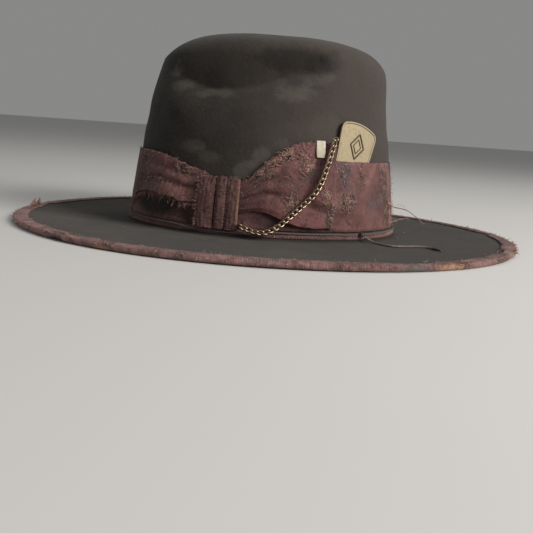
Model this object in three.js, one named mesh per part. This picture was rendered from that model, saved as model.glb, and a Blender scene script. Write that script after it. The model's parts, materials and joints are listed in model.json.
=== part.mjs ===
// Wide-brimmed felt hat with a distressed ribbon band, gathered bow, curb chain,
// brass tag and bone clip.  Millimetres.  +Z up, brim underside binding on Z = 0.
// The front of the hat is -X, the wearer's left side (bow side) is -Y.
import * as THREE from 'three';

// ---------------------------------------------------------------- dimensions
const BRIM_A = 196.0;          // brim half length over the binding, front to back
const BRIM_B = 180.0;          // brim half width over the binding
const BRIM_Z0 = 0.9;           // felt brim underside
const FELT_T = 2.4;            // felt thickness
const BIND_T = 0.6;            // ribbon thickness of the edge binding
const BIND_W = 9.0;            // width of the binding on each face of the brim
const CROWN_X = -3.5;          // crown centre relative to the brim centre
const OVAL = 0.846;            // crown width over crown length
const CREST_Z = 145.2;         // highest point of the crown ridge
const SHOULDER_Z = 122.0;      // height where the side wall turns into the tip
const SHOULDER_A = 86.9;       // half length of the crown there
const CREST_RHO = 0.66;        // where the ridge runs, as a fraction of the tip oval
const TOP_DENT = 17.0;         // depth of the teardrop crease in the tip
const SIDE_DENT = 13.5;        // depth of the two side pinches
// side wall: height, outer half length
const WALL = [[3.3, 106.2], [5, 104.8], [8, 103.7], [14, 102.9], [26, 101.6], [42, 99.6], [59, 97.3],
  [72, 96.0], [84, 93.4], [95, 92.0], [107, 89.7], [115, 88.3], [122, 86.9]];
const BAND_T = 0.6;            // ribbon thickness of band and bow
const BAND_GAP = 0.4;          // band stand-off from the felt
const TAG_T = 1.6;             // tag thickness over its rim
const TAG_L = 58.0;            // tag length
const TAG_TILT = 16.2;         // lean of the tag in its own plane, degrees
const TAG_TH = -51.2;          // where the tag sits round the crown, degrees
const TAG_Z = 60.0;            // height where the tag leaves the band
const CHAIN_PITCH = 4.05;      // one link to the next
const WIRE_R = 0.48;           // chain wire radius
const CORD_R = 0.75;           // cord radius
const NT = 56;                 // divisions round the hat

// ---------------------------------------------------------------- helpers
const D2R = Math.PI / 180;
const V = (x, y, z) => new THREE.Vector3(x, y, z);
const clamp = (x, a, b) => Math.min(b, Math.max(a, x));
const sstep = (a, b, x) => { const t = clamp((x - a) / (b - a), 0, 1); return t * t * (3 - 2 * t); };
function tab(T, x) {
  if (x <= T[0][0]) return T[0][1];
  for (let i = 1; i < T.length; i++) if (x <= T[i][0]) {
    const f = (x - T[i - 1][0]) / (T[i][0] - T[i - 1][0]);
    return T[i - 1][1] + f * (T[i][1] - T[i - 1][1]);
  }
  return T[T.length - 1][1];
}

// solid from triangles given as point triples; shared points merged, faces turned outward
function solid(tris) {
  const map = new Map(), pos = [], idx = [];
  const key = p => `${Math.round(p.x * 1e5)},${Math.round(p.y * 1e5)},${Math.round(p.z * 1e5)}`;
  const id = p => { const k = key(p); if (!map.has(k)) { map.set(k, pos.length / 3); pos.push(p.x, p.y, p.z); } return map.get(k); };
  for (const t of tris) {
    const a = id(t[0]), b = id(t[1]), c = id(t[2]);
    if (a !== b && b !== c && a !== c) idx.push(a, b, c);
  }
  let vol = 0;
  for (let i = 0; i < idx.length; i += 3) {
    const [a, b, c] = [0, 1, 2].map(k => V(...pos.slice(3 * idx[i + k], 3 * idx[i + k] + 3)));
    vol += a.dot(b.clone().cross(c));
  }
  if (vol < 0) for (let i = 0; i < idx.length; i += 3) { const t = idx[i]; idx[i] = idx[i + 1]; idx[i + 1] = t; }
  const g = new THREE.BufferGeometry();
  g.setAttribute('position', new THREE.BufferAttribute(new Float32Array(pos), 3));
  g.setIndex(idx);
  g.computeVertexNormals();
  return g;
}
const quad = (o, a, b, c, d) => { o.push([a, b, c], [a, c, d]); };

// sections[i][j]: closed section j at station i.  closed: the stations close on themselves
function loft(sections, closed, half) {
  const o = [], n = sections.length, m = sections[0].length;
  for (let i = 0; i < (closed ? n : n - 1); i++) {
    const A = sections[i], B = sections[(i + 1) % n];
    for (let j = 0; j < m; j++) quad(o, A[j], B[j], B[(j + 1) % m], A[(j + 1) % m]);
  }
  if (!closed) for (const [S, s] of [[sections[0], 1], [sections[n - 1], -1]]) {
    if (half) {                     // thin section: outer row 0..h-1, inner row back again
      const h = m / 2;
      for (let j = 0; j < h - 1; j++) {
        const q = [S[j], S[j + 1], S[m - 2 - j], S[m - 1 - j]];
        if (s < 0) q.reverse();
        quad(o, ...q);
      }
    } else {
      const c = S.reduce((p, q) => p.clone().add(q), V(0, 0, 0)).multiplyScalar(1 / m);
      for (let j = 0; j < m; j++) o.push(s > 0 ? [c, S[j], S[(j + 1) % m]] : [c, S[(j + 1) % m], S[j]]);
    }
  }
  return solid(o);
}
// rings from one pole to the other
function capped(rings, p0, p1) {
  const o = [], n = rings[0].length;
  for (let i = 0; i < n; i++) {
    o.push([p0, rings[0][i], rings[0][(i + 1) % n]]);
    for (let k = 0; k < rings.length - 1; k++)
      quad(o, rings[k][i], rings[k + 1][i], rings[k + 1][(i + 1) % n], rings[k][(i + 1) % n]);
    const L = rings[rings.length - 1];
    o.push([p1, L[(i + 1) % n], L[i]]);
  }
  return solid(o);
}

// ---------------------------------------------------------------- crown surface
const tOfZ = z => (z - 3.3) / (SHOULDER_Z - 3.3);
function crown0(th, t) {
  const c = Math.cos(th), s = Math.sin(th);
  let x, y, z, rho = 1;
  if (t <= 1) {
    z = 3.3 + t * (SHOULDER_Z - 3.3);
    const A = tab(WALL, z);
    x = A * c; y = A * OVAL * s;
  } else {
    rho = 2 - t;
    x = SHOULDER_A * rho * c; y = SHOULDER_A * OVAL * rho * s;
    const crest = CREST_Z - 8.2 * (x / 87) ** 4;
    if (rho > CREST_RHO) {
      const u = (rho - CREST_RHO) / (1 - CREST_RHO);
      z = SHOULDER_Z + (crest - SHOULDER_Z) * Math.sqrt(Math.max(0, 1 - u * u));
    } else {
      const q2 = ((x - 2) / 58) ** 2 + (y / (36 * (1 + 0.0033 * x))) ** 2;
      z = crest - (q2 < 1 ? TOP_DENT * Math.pow(1 - q2, 1.5) : 0);
    }
    x += 1.5 * Math.sin(Math.PI * clamp((1 - rho) / (1 - CREST_RHO), 0, 1));
  }
  // side pinches
  const zc = Math.min(134, 105 + (x > -35 ? 0.0052 : 0.0095) * (x + 35) ** 2);
  const fx = sstep(50, 24, x) * sstep(-92, -40, x);
  let g = 0;
  if (z > zc) g = Math.pow(clamp(1 - (z - zc) / (141 - zc), 0, 1), 1.4);
  else g = clamp(1 - (zc - z) / 32, 0, 1) ** 2;
  g *= sstep(0.62, 0.86, rho) * sstep(0.25, 0.7, Math.abs(y) / (SHOULDER_A * OVAL));
  y -= Math.sign(y) * SIDE_DENT * fx * g;
  const lean = t <= 1 ? 2.2 * sstep(95, 124, z) : 2.2 * sstep(95, 124, SHOULDER_Z);   // the top sits slightly back
  return V(x + CROWN_X + lean, y, z);
}
function crownN(th, t) {
  if (t > 1.999) return V(0, 0, 1);
  const e = 1e-3, f = 2e-3;
  const a = crown0(th + f, t).sub(crown0(th - f, t));
  const b = crown0(th, Math.min(2, t + e)).sub(crown0(th, t - e));
  const n = a.cross(b).normalize();
  return n;
}
const P = (th, t, off) => crown0(th, t).add(crownN(th, t).multiplyScalar(off));
const Pz = (thDeg, z, off) => P(thDeg * D2R, tOfZ(z), off);

// ---------------------------------------------------------------- tag frame
const tagN = (() => { const n = crownN(TAG_TH * D2R, tOfZ(TAG_Z)); return n; })();
const tagE = V(-tagN.y, tagN.x, 0).normalize();
const tagW = tagN.clone().cross(tagE).normalize();
if (tagW.z < 0) tagW.negate();
const ct = Math.cos(TAG_TILT * D2R), st = Math.sin(TAG_TILT * D2R);
const tagU = tagE.clone().multiplyScalar(ct).addScaledVector(tagW, -st);
const tagV = tagW.clone().multiplyScalar(ct).addScaledVector(tagE, st);
const tagO = Pz(TAG_TH, TAG_Z, 1.15 + TAG_T / 2);

// how far the band is lifted where the tag is tucked behind it
function pocket(th, z) {
  let d = th - TAG_TH; while (d > 180) d -= 360; while (d < -180) d += 360;
  if (Math.abs(d) > 32) return 0;
  const S = crown0(th * D2R, tOfZ(z)), r = S.clone().sub(tagO);
  const u = r.dot(tagU), v = r.dot(tagV), del = -r.dot(tagN);
  const w = sstep(28, 18.5, Math.abs(u)) * sstep(-42, -34, v);
  return w * Math.max(0, del + TAG_T / 2 + 0.45 - BAND_GAP);
}
const bandOut = (th, z) => BAND_GAP + pocket(th, z) + BAND_T;

// ---------------------------------------------------------------- felt body
const ths = n => Array.from({ length: n }, (_, i) => (i / n) * 2 * Math.PI);
const ring = (n, f) => ths(n).map(f);
const FE_A = BRIM_A - 1.5, FE_B = BRIM_B - 1.5;          // felt brim edge
function brimRing(k, z) {           // k 0 at the crown base, 1 at the felt brim edge
  return ring(NT, th => {
    const ax = 108.2, bx = 108.2 * OVAL + 0.6;
    const xi = CROWN_X + ax * Math.cos(th), yi = bx * Math.sin(th);
    const xo = FE_A * Math.cos(th), yo = FE_B * Math.sin(th);
    return V(xi + (xo - xi) * k, yi + (yo - yi) * k, z);
  });
}
const TOPZ = BRIM_Z0 + FELT_T;
const wallZ = [5, 9, 42, 72, 84, 95, 107, 115, 122];
const topR = [0.975, 0.93, 0.85, 0.76, 0.66, 0.54, 0.41, 0.27, 0.13];
function feltGeo() {
  const rings = [];
  for (const r of [...topR].reverse()) rings.push(ring(NT, th => P(th, 2 - r, 0)));
  for (const z of [...wallZ].reverse()) rings.push(ring(NT, th => P(th, tOfZ(z), 0)));
  for (const k of [0, 0.5, 1]) rings.push(brimRing(k, TOPZ));
  for (const k of [1, 0.5, 0]) rings.push(brimRing(k, BRIM_Z0));
  rings.push(ring(NT, th => V(CROWN_X + 101.9 * Math.cos(th), (101.9 * OVAL - 0.35) * Math.sin(th), BRIM_Z0 + 1.1)));
  for (const z of [9, 42, 72, 84, 95, 107, 115, 122]) rings.push(ring(NT, th => P(th, tOfZ(z), -FELT_T)));
  for (const r of topR) rings.push(ring(NT, th => P(th, 2 - r, -FELT_T)));
  return capped(rings, crown0(0, 2), crown0(0, 2).add(V(0, 0, -FELT_T)));
}

// ---------------------------------------------------------------- brim binding
function bindingGeo() {
  const prof = [[-BIND_W, 4.2], [0.4, 4.2], [1.5, 3.0], [1.5, 1.2], [0.4, 0], [-BIND_W, 0],
    [-BIND_W, BIND_T], [0.7, BIND_T], [0.7, 4.2 - BIND_T], [-BIND_W, 4.2 - BIND_T]];
  const sec = ths(NT).map(th => {
    const n = V(Math.cos(th) / FE_A, Math.sin(th) / FE_B, 0).normalize();
    return prof.map(([o, z]) => V(FE_A * Math.cos(th) + n.x * o, FE_B * Math.sin(th) + n.y * o, z));
  });
  return loft(sec, true);
}

// thin shell on the crown between two offsets, rows of height per column (degrees)
function shell(cols, rows, zAt, inner, thick, closed) {
  const sec = cols.map(th => {
    const o = [], q = [];
    for (let k = 0; k <= rows; k++) {
      const z = zAt(th, k / rows), f = inner(th, z, k / rows);
      o.push(Pz(th, z, f + (typeof thick === 'function' ? thick(th, z, k / rows) : thick)));
      q.push(Pz(th, z, f));
    }
    return [...o, ...q.reverse()];
  });
  return loft(sec, closed, true);
}
const range = (a, b, n) => Array.from({ length: n + 1 }, (_, i) => a + (b - a) * i / n);

// ---------------------------------------------------------------- band
const LW_TOP = [[-176, 58.6], [-146, 58.1], [-138, 56.9], [-131.5, 54.8], [-125.7, 52.1], [-120.5, 49.5], [-115.8, 48.0], [-112, 45.5]];
const RW_TOP = [[-101, 39], [-98.5, 41.5], [-96.3, 43.2], [-93.4, 47.6], [-90.9, 52.7], [-88, 57.8], [-84.4, 62.3], [-80.6, 67.5], [-77.9, 69.8], [-75.5, 70.8], [-69.3, 71.8], [-61, 72.2]];
function bandTop(th) {              // th in -180..180
  if (th < -112) return tab(LW_TOP, th) - 1.8;
  if (th < -101) return 41;
  if (th < -78) return Math.min(60, tab(RW_TOP, th) - 3.0);
  return tab([[-78, 60], [150, 59.5], [180, 57.2]], th);
}
const bandBot = th => tab([[-180, 9.9], [-120, 9.6], [-95, 9.9], [-60, 10.6], [90, 10.4], [180, 9.9]], th);
function bandCols() {
  const c = [];
  for (let th = -180; th < 180 - 1e-6;) { c.push(th); th += (th > -76 - 1e-6 && th < -24 - 1e-6) ? 1.625 : (th > -128.1 && th < -76 ? 3.25 : 5); }
  return c;
}
const bandGeo = () => shell(bandCols(), 5, (th, k) => { const a = bandBot(th); return a + (bandTop(th) - a) * k; },
  (th, z) => BAND_GAP + pocket(th, z), BAND_T, true);
const underGeo = () => shell(range(-180, 175, 71), 1, (th, k) => 4.7 + 4.6 * k, () => 0.35, 0.7, true);

// ---------------------------------------------------------------- bow wings
const RW_BOT = [[-101, 20], [-98, 20.9], [-94.3, 22.1], [-89.8, 22.7], [-86.7, 21], [-80.8, 16.8], [-76, 13.6], [-70, 12.8], [-61, 12.9]];
const LW_BOT = [[-172, 13], [-163, 17.5], [-152.5, 26.1], [-143, 28.5], [-135.6, 28.4], [-129, 27.3], [-124, 26.2], [-119, 24.3], [-112, 22.6]];
const RW_BUL = [[0, 0], [0.06, 0.2], [0.15, 1.5], [0.3, 2.9], [0.5, 3.1], [0.7, 2.8], [0.85, 2.2], [0.95, 1.1], [1, 0.5]];
const LW_BUL = [[0, 0], [0.1, 0.7], [0.3, 2.2], [0.55, 3.3], [0.8, 2.9], [0.9, 1.5], [0.94, 0.4], [1, 0]];
const rwIn = (th, z) => {
  const s = clamp((th + 101) / 40, 0, 1), lo = tab(RW_BOT, th), hi = tab(RW_TOP, th);
  const k = clamp((z - lo) / (hi - lo), 0, 1);
  return bandOut(th, z) + 0.4 + tab(RW_BUL, s) * (1.15 - 0.25 * k);
};
const lwIn = (th, z) => {
  const s = clamp((th + 171) / 59, 0, 1), lo = tab(LW_BOT, th), hi = tab(LW_TOP, th);
  const k = clamp((z - lo) / (hi - lo), 0, 1);
  return bandOut(th, z) + 0.4 + tab(LW_BUL, s) * (1.2 - 0.75 * k);
};
const rightWingGeo = () => shell(range(-101, -61, 20), 6, (th, k) => { const a = tab(RW_BOT, th); return a + (tab(RW_TOP, th) - a) * k; }, rwIn, BAND_T, false);
const leftWingGeo = () => shell(range(-171, -112, 20), 4, (th, k) => { const a = tab(LW_BOT, th); return a + (tab(LW_TOP, th) - a) * k; }, lwIn, BAND_T, false);

// ---------------------------------------------------------------- keeper (three gathers of ribbon)
function keeperGeo(a, b, zt, zb) {
  return shell(range(a, b, 4), 8, (th, k) => zb + (zt - zb) * k, () => 2.95,
    (th, z, k) => { const s = (th - a) / (b - a); return 0.9 + 2.1 * Math.pow(Math.sin(Math.PI * clamp(k, 0.03, 0.97)), 0.4) * (0.6 + 0.4 * Math.sin(Math.PI * s)); }, false);
}

// ---------------------------------------------------------------- swept tubes
function tubeLoop(pts, normals, r, n) {      // closed loop of stations
  const N = pts.length, sec = [];
  for (let i = 0; i < N; i++) {
    const t = pts[(i + 1) % N].clone().sub(pts[(i + N - 1) % N]).normalize();
    const a = normals[i].clone().addScaledVector(t, -normals[i].dot(t)).normalize(), b = t.clone().cross(a);
    sec.push(Array.from({ length: n }, (_, j) => {
      const w = 2 * Math.PI * j / n;
      return pts[i].clone().addScaledVector(a, r * Math.cos(w)).addScaledVector(b, r * Math.sin(w));
    }));
  }
  return loft(sec, true);
}

// ---------------------------------------------------------------- chain
const chainKeys = [[-98.0, 12.6], [-96.3, 11.0], [-94.0, 9.6], [-91.8, 8.6], [-89.2, 8.3], [-87.1, 9.2], [-84.6, 11.6], [-82.5, 14.6], [-80.1, 18.9],
  [-77.2, 23.9], [-74.7, 28.2], [-71.6, 34.2], [-69.5, 39.8], [-67.7, 46.6], [-66.3, 53.4], [-64.9, 60.3], [-63.7, 67.0], [-62.2, 73.6]];
const chainPts = chainKeys.map(([th, z]) => Pz(th, z, Math.max(5.7, rwIn(Math.max(th, -100), z) + BAND_T + 2.35)));
const chainCurve = new THREE.CatmullRomCurve3(chainPts, false, 'centripetal');
chainCurve.arcLengthDivisions = 2000;
const chainLen = chainCurve.getLength();
const LINK_A = (CHAIN_PITCH + 2 * WIRE_R + 0.2) / 2;      // half length of the link centreline
const LINK_W = 1.3;                                       // half width of the link centreline
const RING_R = 1.55;                                      // end ring centreline radius
const RING_OFF = LINK_A + RING_R - 2 * WIRE_R - 0.2;      // end link centre to ring centre
const NLINK = Math.floor((chainLen - 2 * RING_OFF) / CHAIN_PITCH) + 1;
const usedLen = (NLINK - 1) * CHAIN_PITCH + 2 * RING_OFF;
const startS = chainLen - usedLen;                         // chain starts here, upper end exact
function chainFrame(s) {
  const u = clamp(s / chainLen, 0, 1);
  const p = chainCurve.getPointAt(u), t = chainCurve.getTangentAt(u);
  const c = V(p.x - CROWN_X, p.y / (OVAL * OVAL), 0).normalize();
  const z = c.addScaledVector(t, -c.dot(t)).normalize(), y = z.clone().cross(t);
  return { p, t, y, z };
}
function linkGeo(s) {
  const f = chainFrame(s), pts = [], nor = [], N = 10;
  for (let i = 0; i < N; i++) {
    const w = 2 * Math.PI * (i + 0.5) / N, cx = Math.cos(w), sy = Math.sin(w);
    const lx = LINK_A * Math.sign(cx) * Math.pow(Math.abs(cx), 0.75), ly = LINK_W * Math.sign(sy) * Math.pow(Math.abs(sy), 0.75);
    const al = (Math.PI / 4) * (lx / LINK_A);
    const Y = ly * Math.cos(al), Z = ly * Math.sin(al);
    pts.push(f.p.clone().addScaledVector(f.t, lx).addScaledVector(f.y, Y).addScaledVector(f.z, Z));
    nor.push(f.z.clone().multiplyScalar(Math.cos(al)).addScaledVector(f.y, -Math.sin(al)));
  }
  return tubeLoop(pts, nor, WIRE_R, 5);
}
function ringGeo(s, sign) {
  const f = chainFrame(s), pts = [], nor = [], N = 12, al = sign * Math.PI / 4;
  const Yv = f.y.clone().multiplyScalar(Math.cos(al)).addScaledVector(f.z, Math.sin(al));
  const Zv = f.z.clone().multiplyScalar(Math.cos(al)).addScaledVector(f.y, -Math.sin(al));
  for (let i = 0; i < N; i++) {
    const w = 2 * Math.PI * (i + 0.5) / N;
    pts.push(f.p.clone().addScaledVector(f.t, RING_R * Math.cos(w)).addScaledVector(Yv, RING_R * Math.sin(w)));
    nor.push(Zv);
  }
  return tubeLoop(pts, nor, WIRE_R, 5);
}

// ---------------------------------------------------------------- tag, clip
function tagGeo() {
  const s = new THREE.Shape(), bl = -(TAG_L - 28), W0 = 14.8, W1 = 16.3;
  s.moveTo(-W0 + 4, bl); s.lineTo(W0 - 4, bl);
  s.quadraticCurveTo(W0, bl, W0, bl + 4);
  s.lineTo(W0, 0); s.lineTo(W1, 19.5);
  s.quadraticCurveTo(W1, 24.8, 12.2, 25.9);
  s.quadraticCurveTo(0, 30.0, -12.2, 25.9);
  s.quadraticCurveTo(-W1, 24.8, -W1, 19.5);
  s.lineTo(-W0, 0); s.lineTo(-W0, bl + 4);
  s.quadraticCurveTo(-W0, bl, -W0 + 4, bl);
  const bev = 0.35;
  const g = new THREE.ExtrudeGeometry(s, { depth: TAG_T - 2 * bev, bevelEnabled: true, bevelThickness: bev, bevelSize: 0.3, bevelOffset: -0.3, bevelSegments: 1, curveSegments: 6 });
  g.translate(0, 0, -(TAG_T - 2 * bev) / 2);
  const m = new THREE.Matrix4().makeBasis(tagU, tagV, tagN).setPosition(tagO);
  g.applyMatrix4(m);
  return g;
}
const CLIP_TH = -67.4, CLIP_T = 0.8, CLIP_W = 6.2;
const clipFrame = (() => {
  const th = CLIP_TH, W = (a, z) => Pz(a, z, rwIn(a, z));
  const p1 = W(th, 70.8), p0 = W(th, 61.5);
  const e = W(th + 2, 68).sub(W(th - 2, 68)).normalize();
  const w = p1.clone().sub(p0); w.addScaledVector(e, -w.dot(e)).normalize();
  const n = e.clone().cross(w).normalize();                // outward
  if (n.dot(V(0, -1, 0)) < 0) n.negate();
  return { p1, n, w };
})();
function clipGeo() {
  const th = CLIP_TH, zt = tab(RW_TOP, th);
  const { p1, n, w } = clipFrame;
  const g = 0.8, T = CLIP_T, wi = BAND_T;
  // section in (n, w) from the wing's inner face at its top edge
  const top = (zt - 70.8) / w.z + 0.5;                     // height of the wing edge above p1 along w, plus gap
  const s = new THREE.Shape();
  const yb = -9.6, yi = -4.5;
  s.moveTo(wi + g, yb); s.lineTo(wi + g + T, yb); s.lineTo(wi + g + T, top + T - 0.4); s.lineTo(wi + g + T - 0.4, top + T);
  s.lineTo(-g - T + 0.4, top + T); s.lineTo(-g - T, top + T - 0.4); s.lineTo(-g - T, yi); s.lineTo(-g, yi);
  s.lineTo(-g, top); s.lineTo(wi + g, top); s.closePath();
  const geo = new THREE.ExtrudeGeometry(s, { depth: CLIP_W, bevelEnabled: false });
  geo.translate(0, 0, -CLIP_W / 2);
  const x = n.clone(), y = w.clone(), z = x.clone().cross(y);
  geo.applyMatrix4(new THREE.Matrix4().makeBasis(x, y, z).setPosition(p1));
  return geo;
}

// ---------------------------------------------------------------- cord round the crown base
const KNOT_TH = -46.4;
const cordZ = th => 8.7 - 2.3 * sstep(-128, -117, th) * sstep(-84, -95, th) - 0.5 * sstep(-60, -50, th) * sstep(-32, -42, th);
const cordC = th => Pz(th, cordZ(th), 0.35 + 0.7 + 0.35 + CORD_R);
function loopGeo() {
  const sec = [], a0 = KNOT_TH + 1.85, a1 = KNOT_TH + 360 - 1.85, n = 66;
  for (let i = 0; i <= n; i++) {
    let th = a0 + (a1 - a0) * i / n; if (th > 180) th -= 360;
    const c = cordC(th), q = cordC(th + 0.5), t = q.clone().sub(c).normalize();
    const z = V(0, 0, 1).addScaledVector(t, -t.z).normalize(), y = z.clone().cross(t);
    sec.push(Array.from({ length: 6 }, (_, j) => { const w = 2 * Math.PI * (j + 0.5) / 6; return c.clone().addScaledVector(z, CORD_R * Math.sin(w)).addScaledVector(y, CORD_R * Math.cos(w)); }));
  }
  return loft(sec, false);
}
const knotC = Pz(KNOT_TH, cordZ(KNOT_TH) - 0.6, 1.05 + 0.4 + 1.7);
const knotN = V(knotC.x - CROWN_X, knotC.y / (OVAL * OVAL), 0).normalize();
const CZ = TOPZ + CORD_R + 0.12;
const tailPts = [knotC.clone().add(V(2.6, -1.2, -1.2)), V(78.2, -69.0, CZ + 0.5), V(81.6, -72.6, CZ), V(85.9, -77.0, CZ), V(89.4, -79.6, CZ), V(93.0, -80.8, CZ), V(98.0, -79.6, CZ),
  V(103.9, -76.2, CZ), V(109.5, -73.9, CZ), V(114.0, -73.6, CZ), V(117.6, -75.6, CZ), V(119.6, -79.2, CZ)];
const tipA = V(119.6, -79.2, CZ), tipDir = V(0.42, -0.907, 0).normalize();
function tailGeo() {
  const c = new THREE.CatmullRomCurve3(tailPts, false, 'centripetal');
  const s = new THREE.Shape();
  for (let j = 0; j < 8; j++) { const w = 2 * Math.PI * (j + 0.5) / 8; const x = CORD_R * Math.cos(w), y = CORD_R * Math.sin(w); j ? s.lineTo(x, y) : s.moveTo(x, y); }
  s.closePath();
  return new THREE.ExtrudeGeometry(s, { steps: 16, bevelEnabled: false, extrudePath: c });
}
function tipGeo() {
  const g = new THREE.CylinderGeometry(0.6, 0.95, 9.5, 8, 1);          // tapered crimp, thick end on the cord
  g.rotateX(Math.PI / 2);                                              // axis along Z, small end at +Z
  const m = new THREE.Matrix4().lookAt(V(0, 0, 0), tipDir.clone().negate(), V(0, 0, 1));
  g.applyMatrix4(m);
  const c = tipA.clone().addScaledVector(tipDir, 0.3 + 4.75); c.z = TOPZ + 0.95 + 0.12;
  g.translate(c.x, c.y, c.z);
  return g;
}

// ---------------------------------------------------------------- inside: sweatband, welt, bow, lining
const inZ = z => Math.max(z, 8);
function innerShell(z0, z1, rows, off, thick) {
  const sec = ths(NT).map(th => {
    const o = [], q = [];
    for (let k = 0; k <= rows; k++) {
      const z = z0 + (z1 - z0) * k / rows;
      const a = P(th, tOfZ(inZ(z)), -off), b = P(th, tOfZ(inZ(z)), -off - thick);
      a.z = z; b.z = z; o.push(a); q.push(b);
    }
    return [...o, ...q.reverse()];
  });
  return loft(sec, true, true);
}
function sweatBowGeo() {
  const s = new THREE.Shape();
  s.moveTo(-1.6, -1.3); s.lineTo(-9, -4.2); s.lineTo(-10, 0); s.lineTo(-9, 4.2); s.lineTo(-1.6, 1.3);
  s.lineTo(0, 1.9); s.lineTo(1.6, 1.3); s.lineTo(9, 4.2); s.lineTo(10, 0); s.lineTo(9, -4.2); s.lineTo(1.6, -1.3); s.lineTo(0, -1.9); s.closePath();
  const g = new THREE.ExtrudeGeometry(s, { depth: 1.2, bevelEnabled: false });
  const x = CROWN_X + 103.7 - FELT_T - 0.4 - 1.2 - 0.8 - 1.2 - 0.9;
  g.applyMatrix4(new THREE.Matrix4().makeBasis(V(0, 1, 0), V(0, 0, 1), V(1, 0, 0)).setPosition(V(x, 0, 9)));
  return g;
}
const NL = 28, LG = FELT_T + 2.0;
function liningSideGeo() {
  const rows = [54, 84, 95, 107, 115];
  const sec = ths(NL).map(th => [...rows.map(z => P(th, tOfZ(z), -LG - 1.5)), ...[...rows].reverse().map(z => P(th, tOfZ(z), -LG - 2.0))]);
  return loft(sec, true, true);
}
function liningTipGeo() {
  const rr = [0.9, 0.7, 0.45, 0.2];
  const rings = [];
  for (const r of [...rr].reverse()) rings.push(ring(NL, th => P(th, 2 - r, -LG)));
  for (const r of rr) rings.push(ring(NL, th => P(th, 2 - r, -LG - 0.5)));
  const c = crown0(0, 2);
  return capped(rings, c.clone().add(V(0, 0, -LG)), c.clone().add(V(0, 0, -LG - 0.5)));
}

// ---------------------------------------------------------------- materials and assembly
const M = (color, roughness, metalness = 0) => new THREE.MeshStandardMaterial({ color, roughness, metalness });
const hat = new THREE.Group();
hat.name = 'felt_hat';
function add(name, geo, mat) { const m = new THREE.Mesh(geo, mat); m.name = name; hat.add(m); return m; }

add('felt_body', feltGeo(), M(0x3a3632, 0.95));
add('brim_binding', bindingGeo(), M(0x5a3a3a, 0.8));
add('hat_band', bandGeo(), M(0x5a3838, 0.75));
add('underband', underGeo(), M(0x4a2e30, 0.85));
add('bow_left_wing', leftWingGeo(), M(0x5c3a38, 0.75));
add('bow_right_wing', rightWingGeo(), M(0x5f3b3a, 0.75));
add('bow_keeper_1', keeperGeo(-115.6, -108.3, 43.6, 8.0), M(0x5a3636, 0.8));
add('bow_keeper_2', keeperGeo(-107.9, -104.1, 44.6, 7.8), M(0x583434, 0.8));
add('bow_keeper_3', keeperGeo(-103.7, -98.8, 43.4, 7.8), M(0x5c3838, 0.8));
add('base_cord_loop', loopGeo(), M(0x8d8178, 0.8));
{
  const k = new THREE.SphereGeometry(1, 10, 6);
  k.applyMatrix4(new THREE.Matrix4().makeBasis(knotN, V(-knotN.y, knotN.x, 0), V(0, 0, 1)).scale(V(1.7, 2.5, 1.9)).setPosition(knotC));
  add('base_cord_knot', k, M(0x2c2826, 0.85));
}
add('cord_tail', tailGeo(), M(0x6f625a, 0.8));
add('cord_tip', tipGeo(), M(0x77736c, 0.4, 0.8));
add('chain_ring_lower', ringGeo(startS, 1), M(0x8c7a55, 0.4, 1));
add('chain_ring_upper', ringGeo(chainLen, -1), M(0x8c7a55, 0.4, 1));
for (let i = 0; i < NLINK; i++)
  add(`chain_link_${String(i + 1).padStart(2, '0')}`, linkGeo(startS + RING_OFF + i * CHAIN_PITCH), M(0x8c7a55, 0.4, 1));
add('brass_tag', tagGeo(), M(0xb8a572, 0.45, 1));
add('bone_clip', clipGeo(), M(0xe0d9c4, 0.5));
add('sweatband', innerShell(2.4, 52, 2, FELT_T + 0.4, 1.2), M(0x3b2a20, 0.6));
add('sweatband_welt', innerShell(0.4, 2.0, 1, FELT_T + 0.5, 1.3), M(0x241c18, 0.6));
add('sweatband_bow', sweatBowGeo(), M(0x2a2422, 0.7));
add('lining_side', liningSideGeo(), M(0x241d22, 0.4));
add('lining_tip', liningTipGeo(), M(0x2a2228, 0.4));

const ringC = s => chainFrame(s).p;
hat.userData.axes = {                    // joint lines, millimetres
  tag: { o: tagO.toArray(), v: tagV.toArray(), n: tagN.toArray(), u: tagU.toArray() },
  clip: { o: clipFrame.p1.toArray(), w: clipFrame.w.toArray(), n: clipFrame.n.toArray() },
  chain: { lower: ringC(startS).toArray(), upper: ringC(chainLen).toArray(), length: usedLen, links: NLINK },
};

export default hat;
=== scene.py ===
import json
import math
import bpy
import numpy as np
from mathutils import Matrix, Vector, noise


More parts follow.
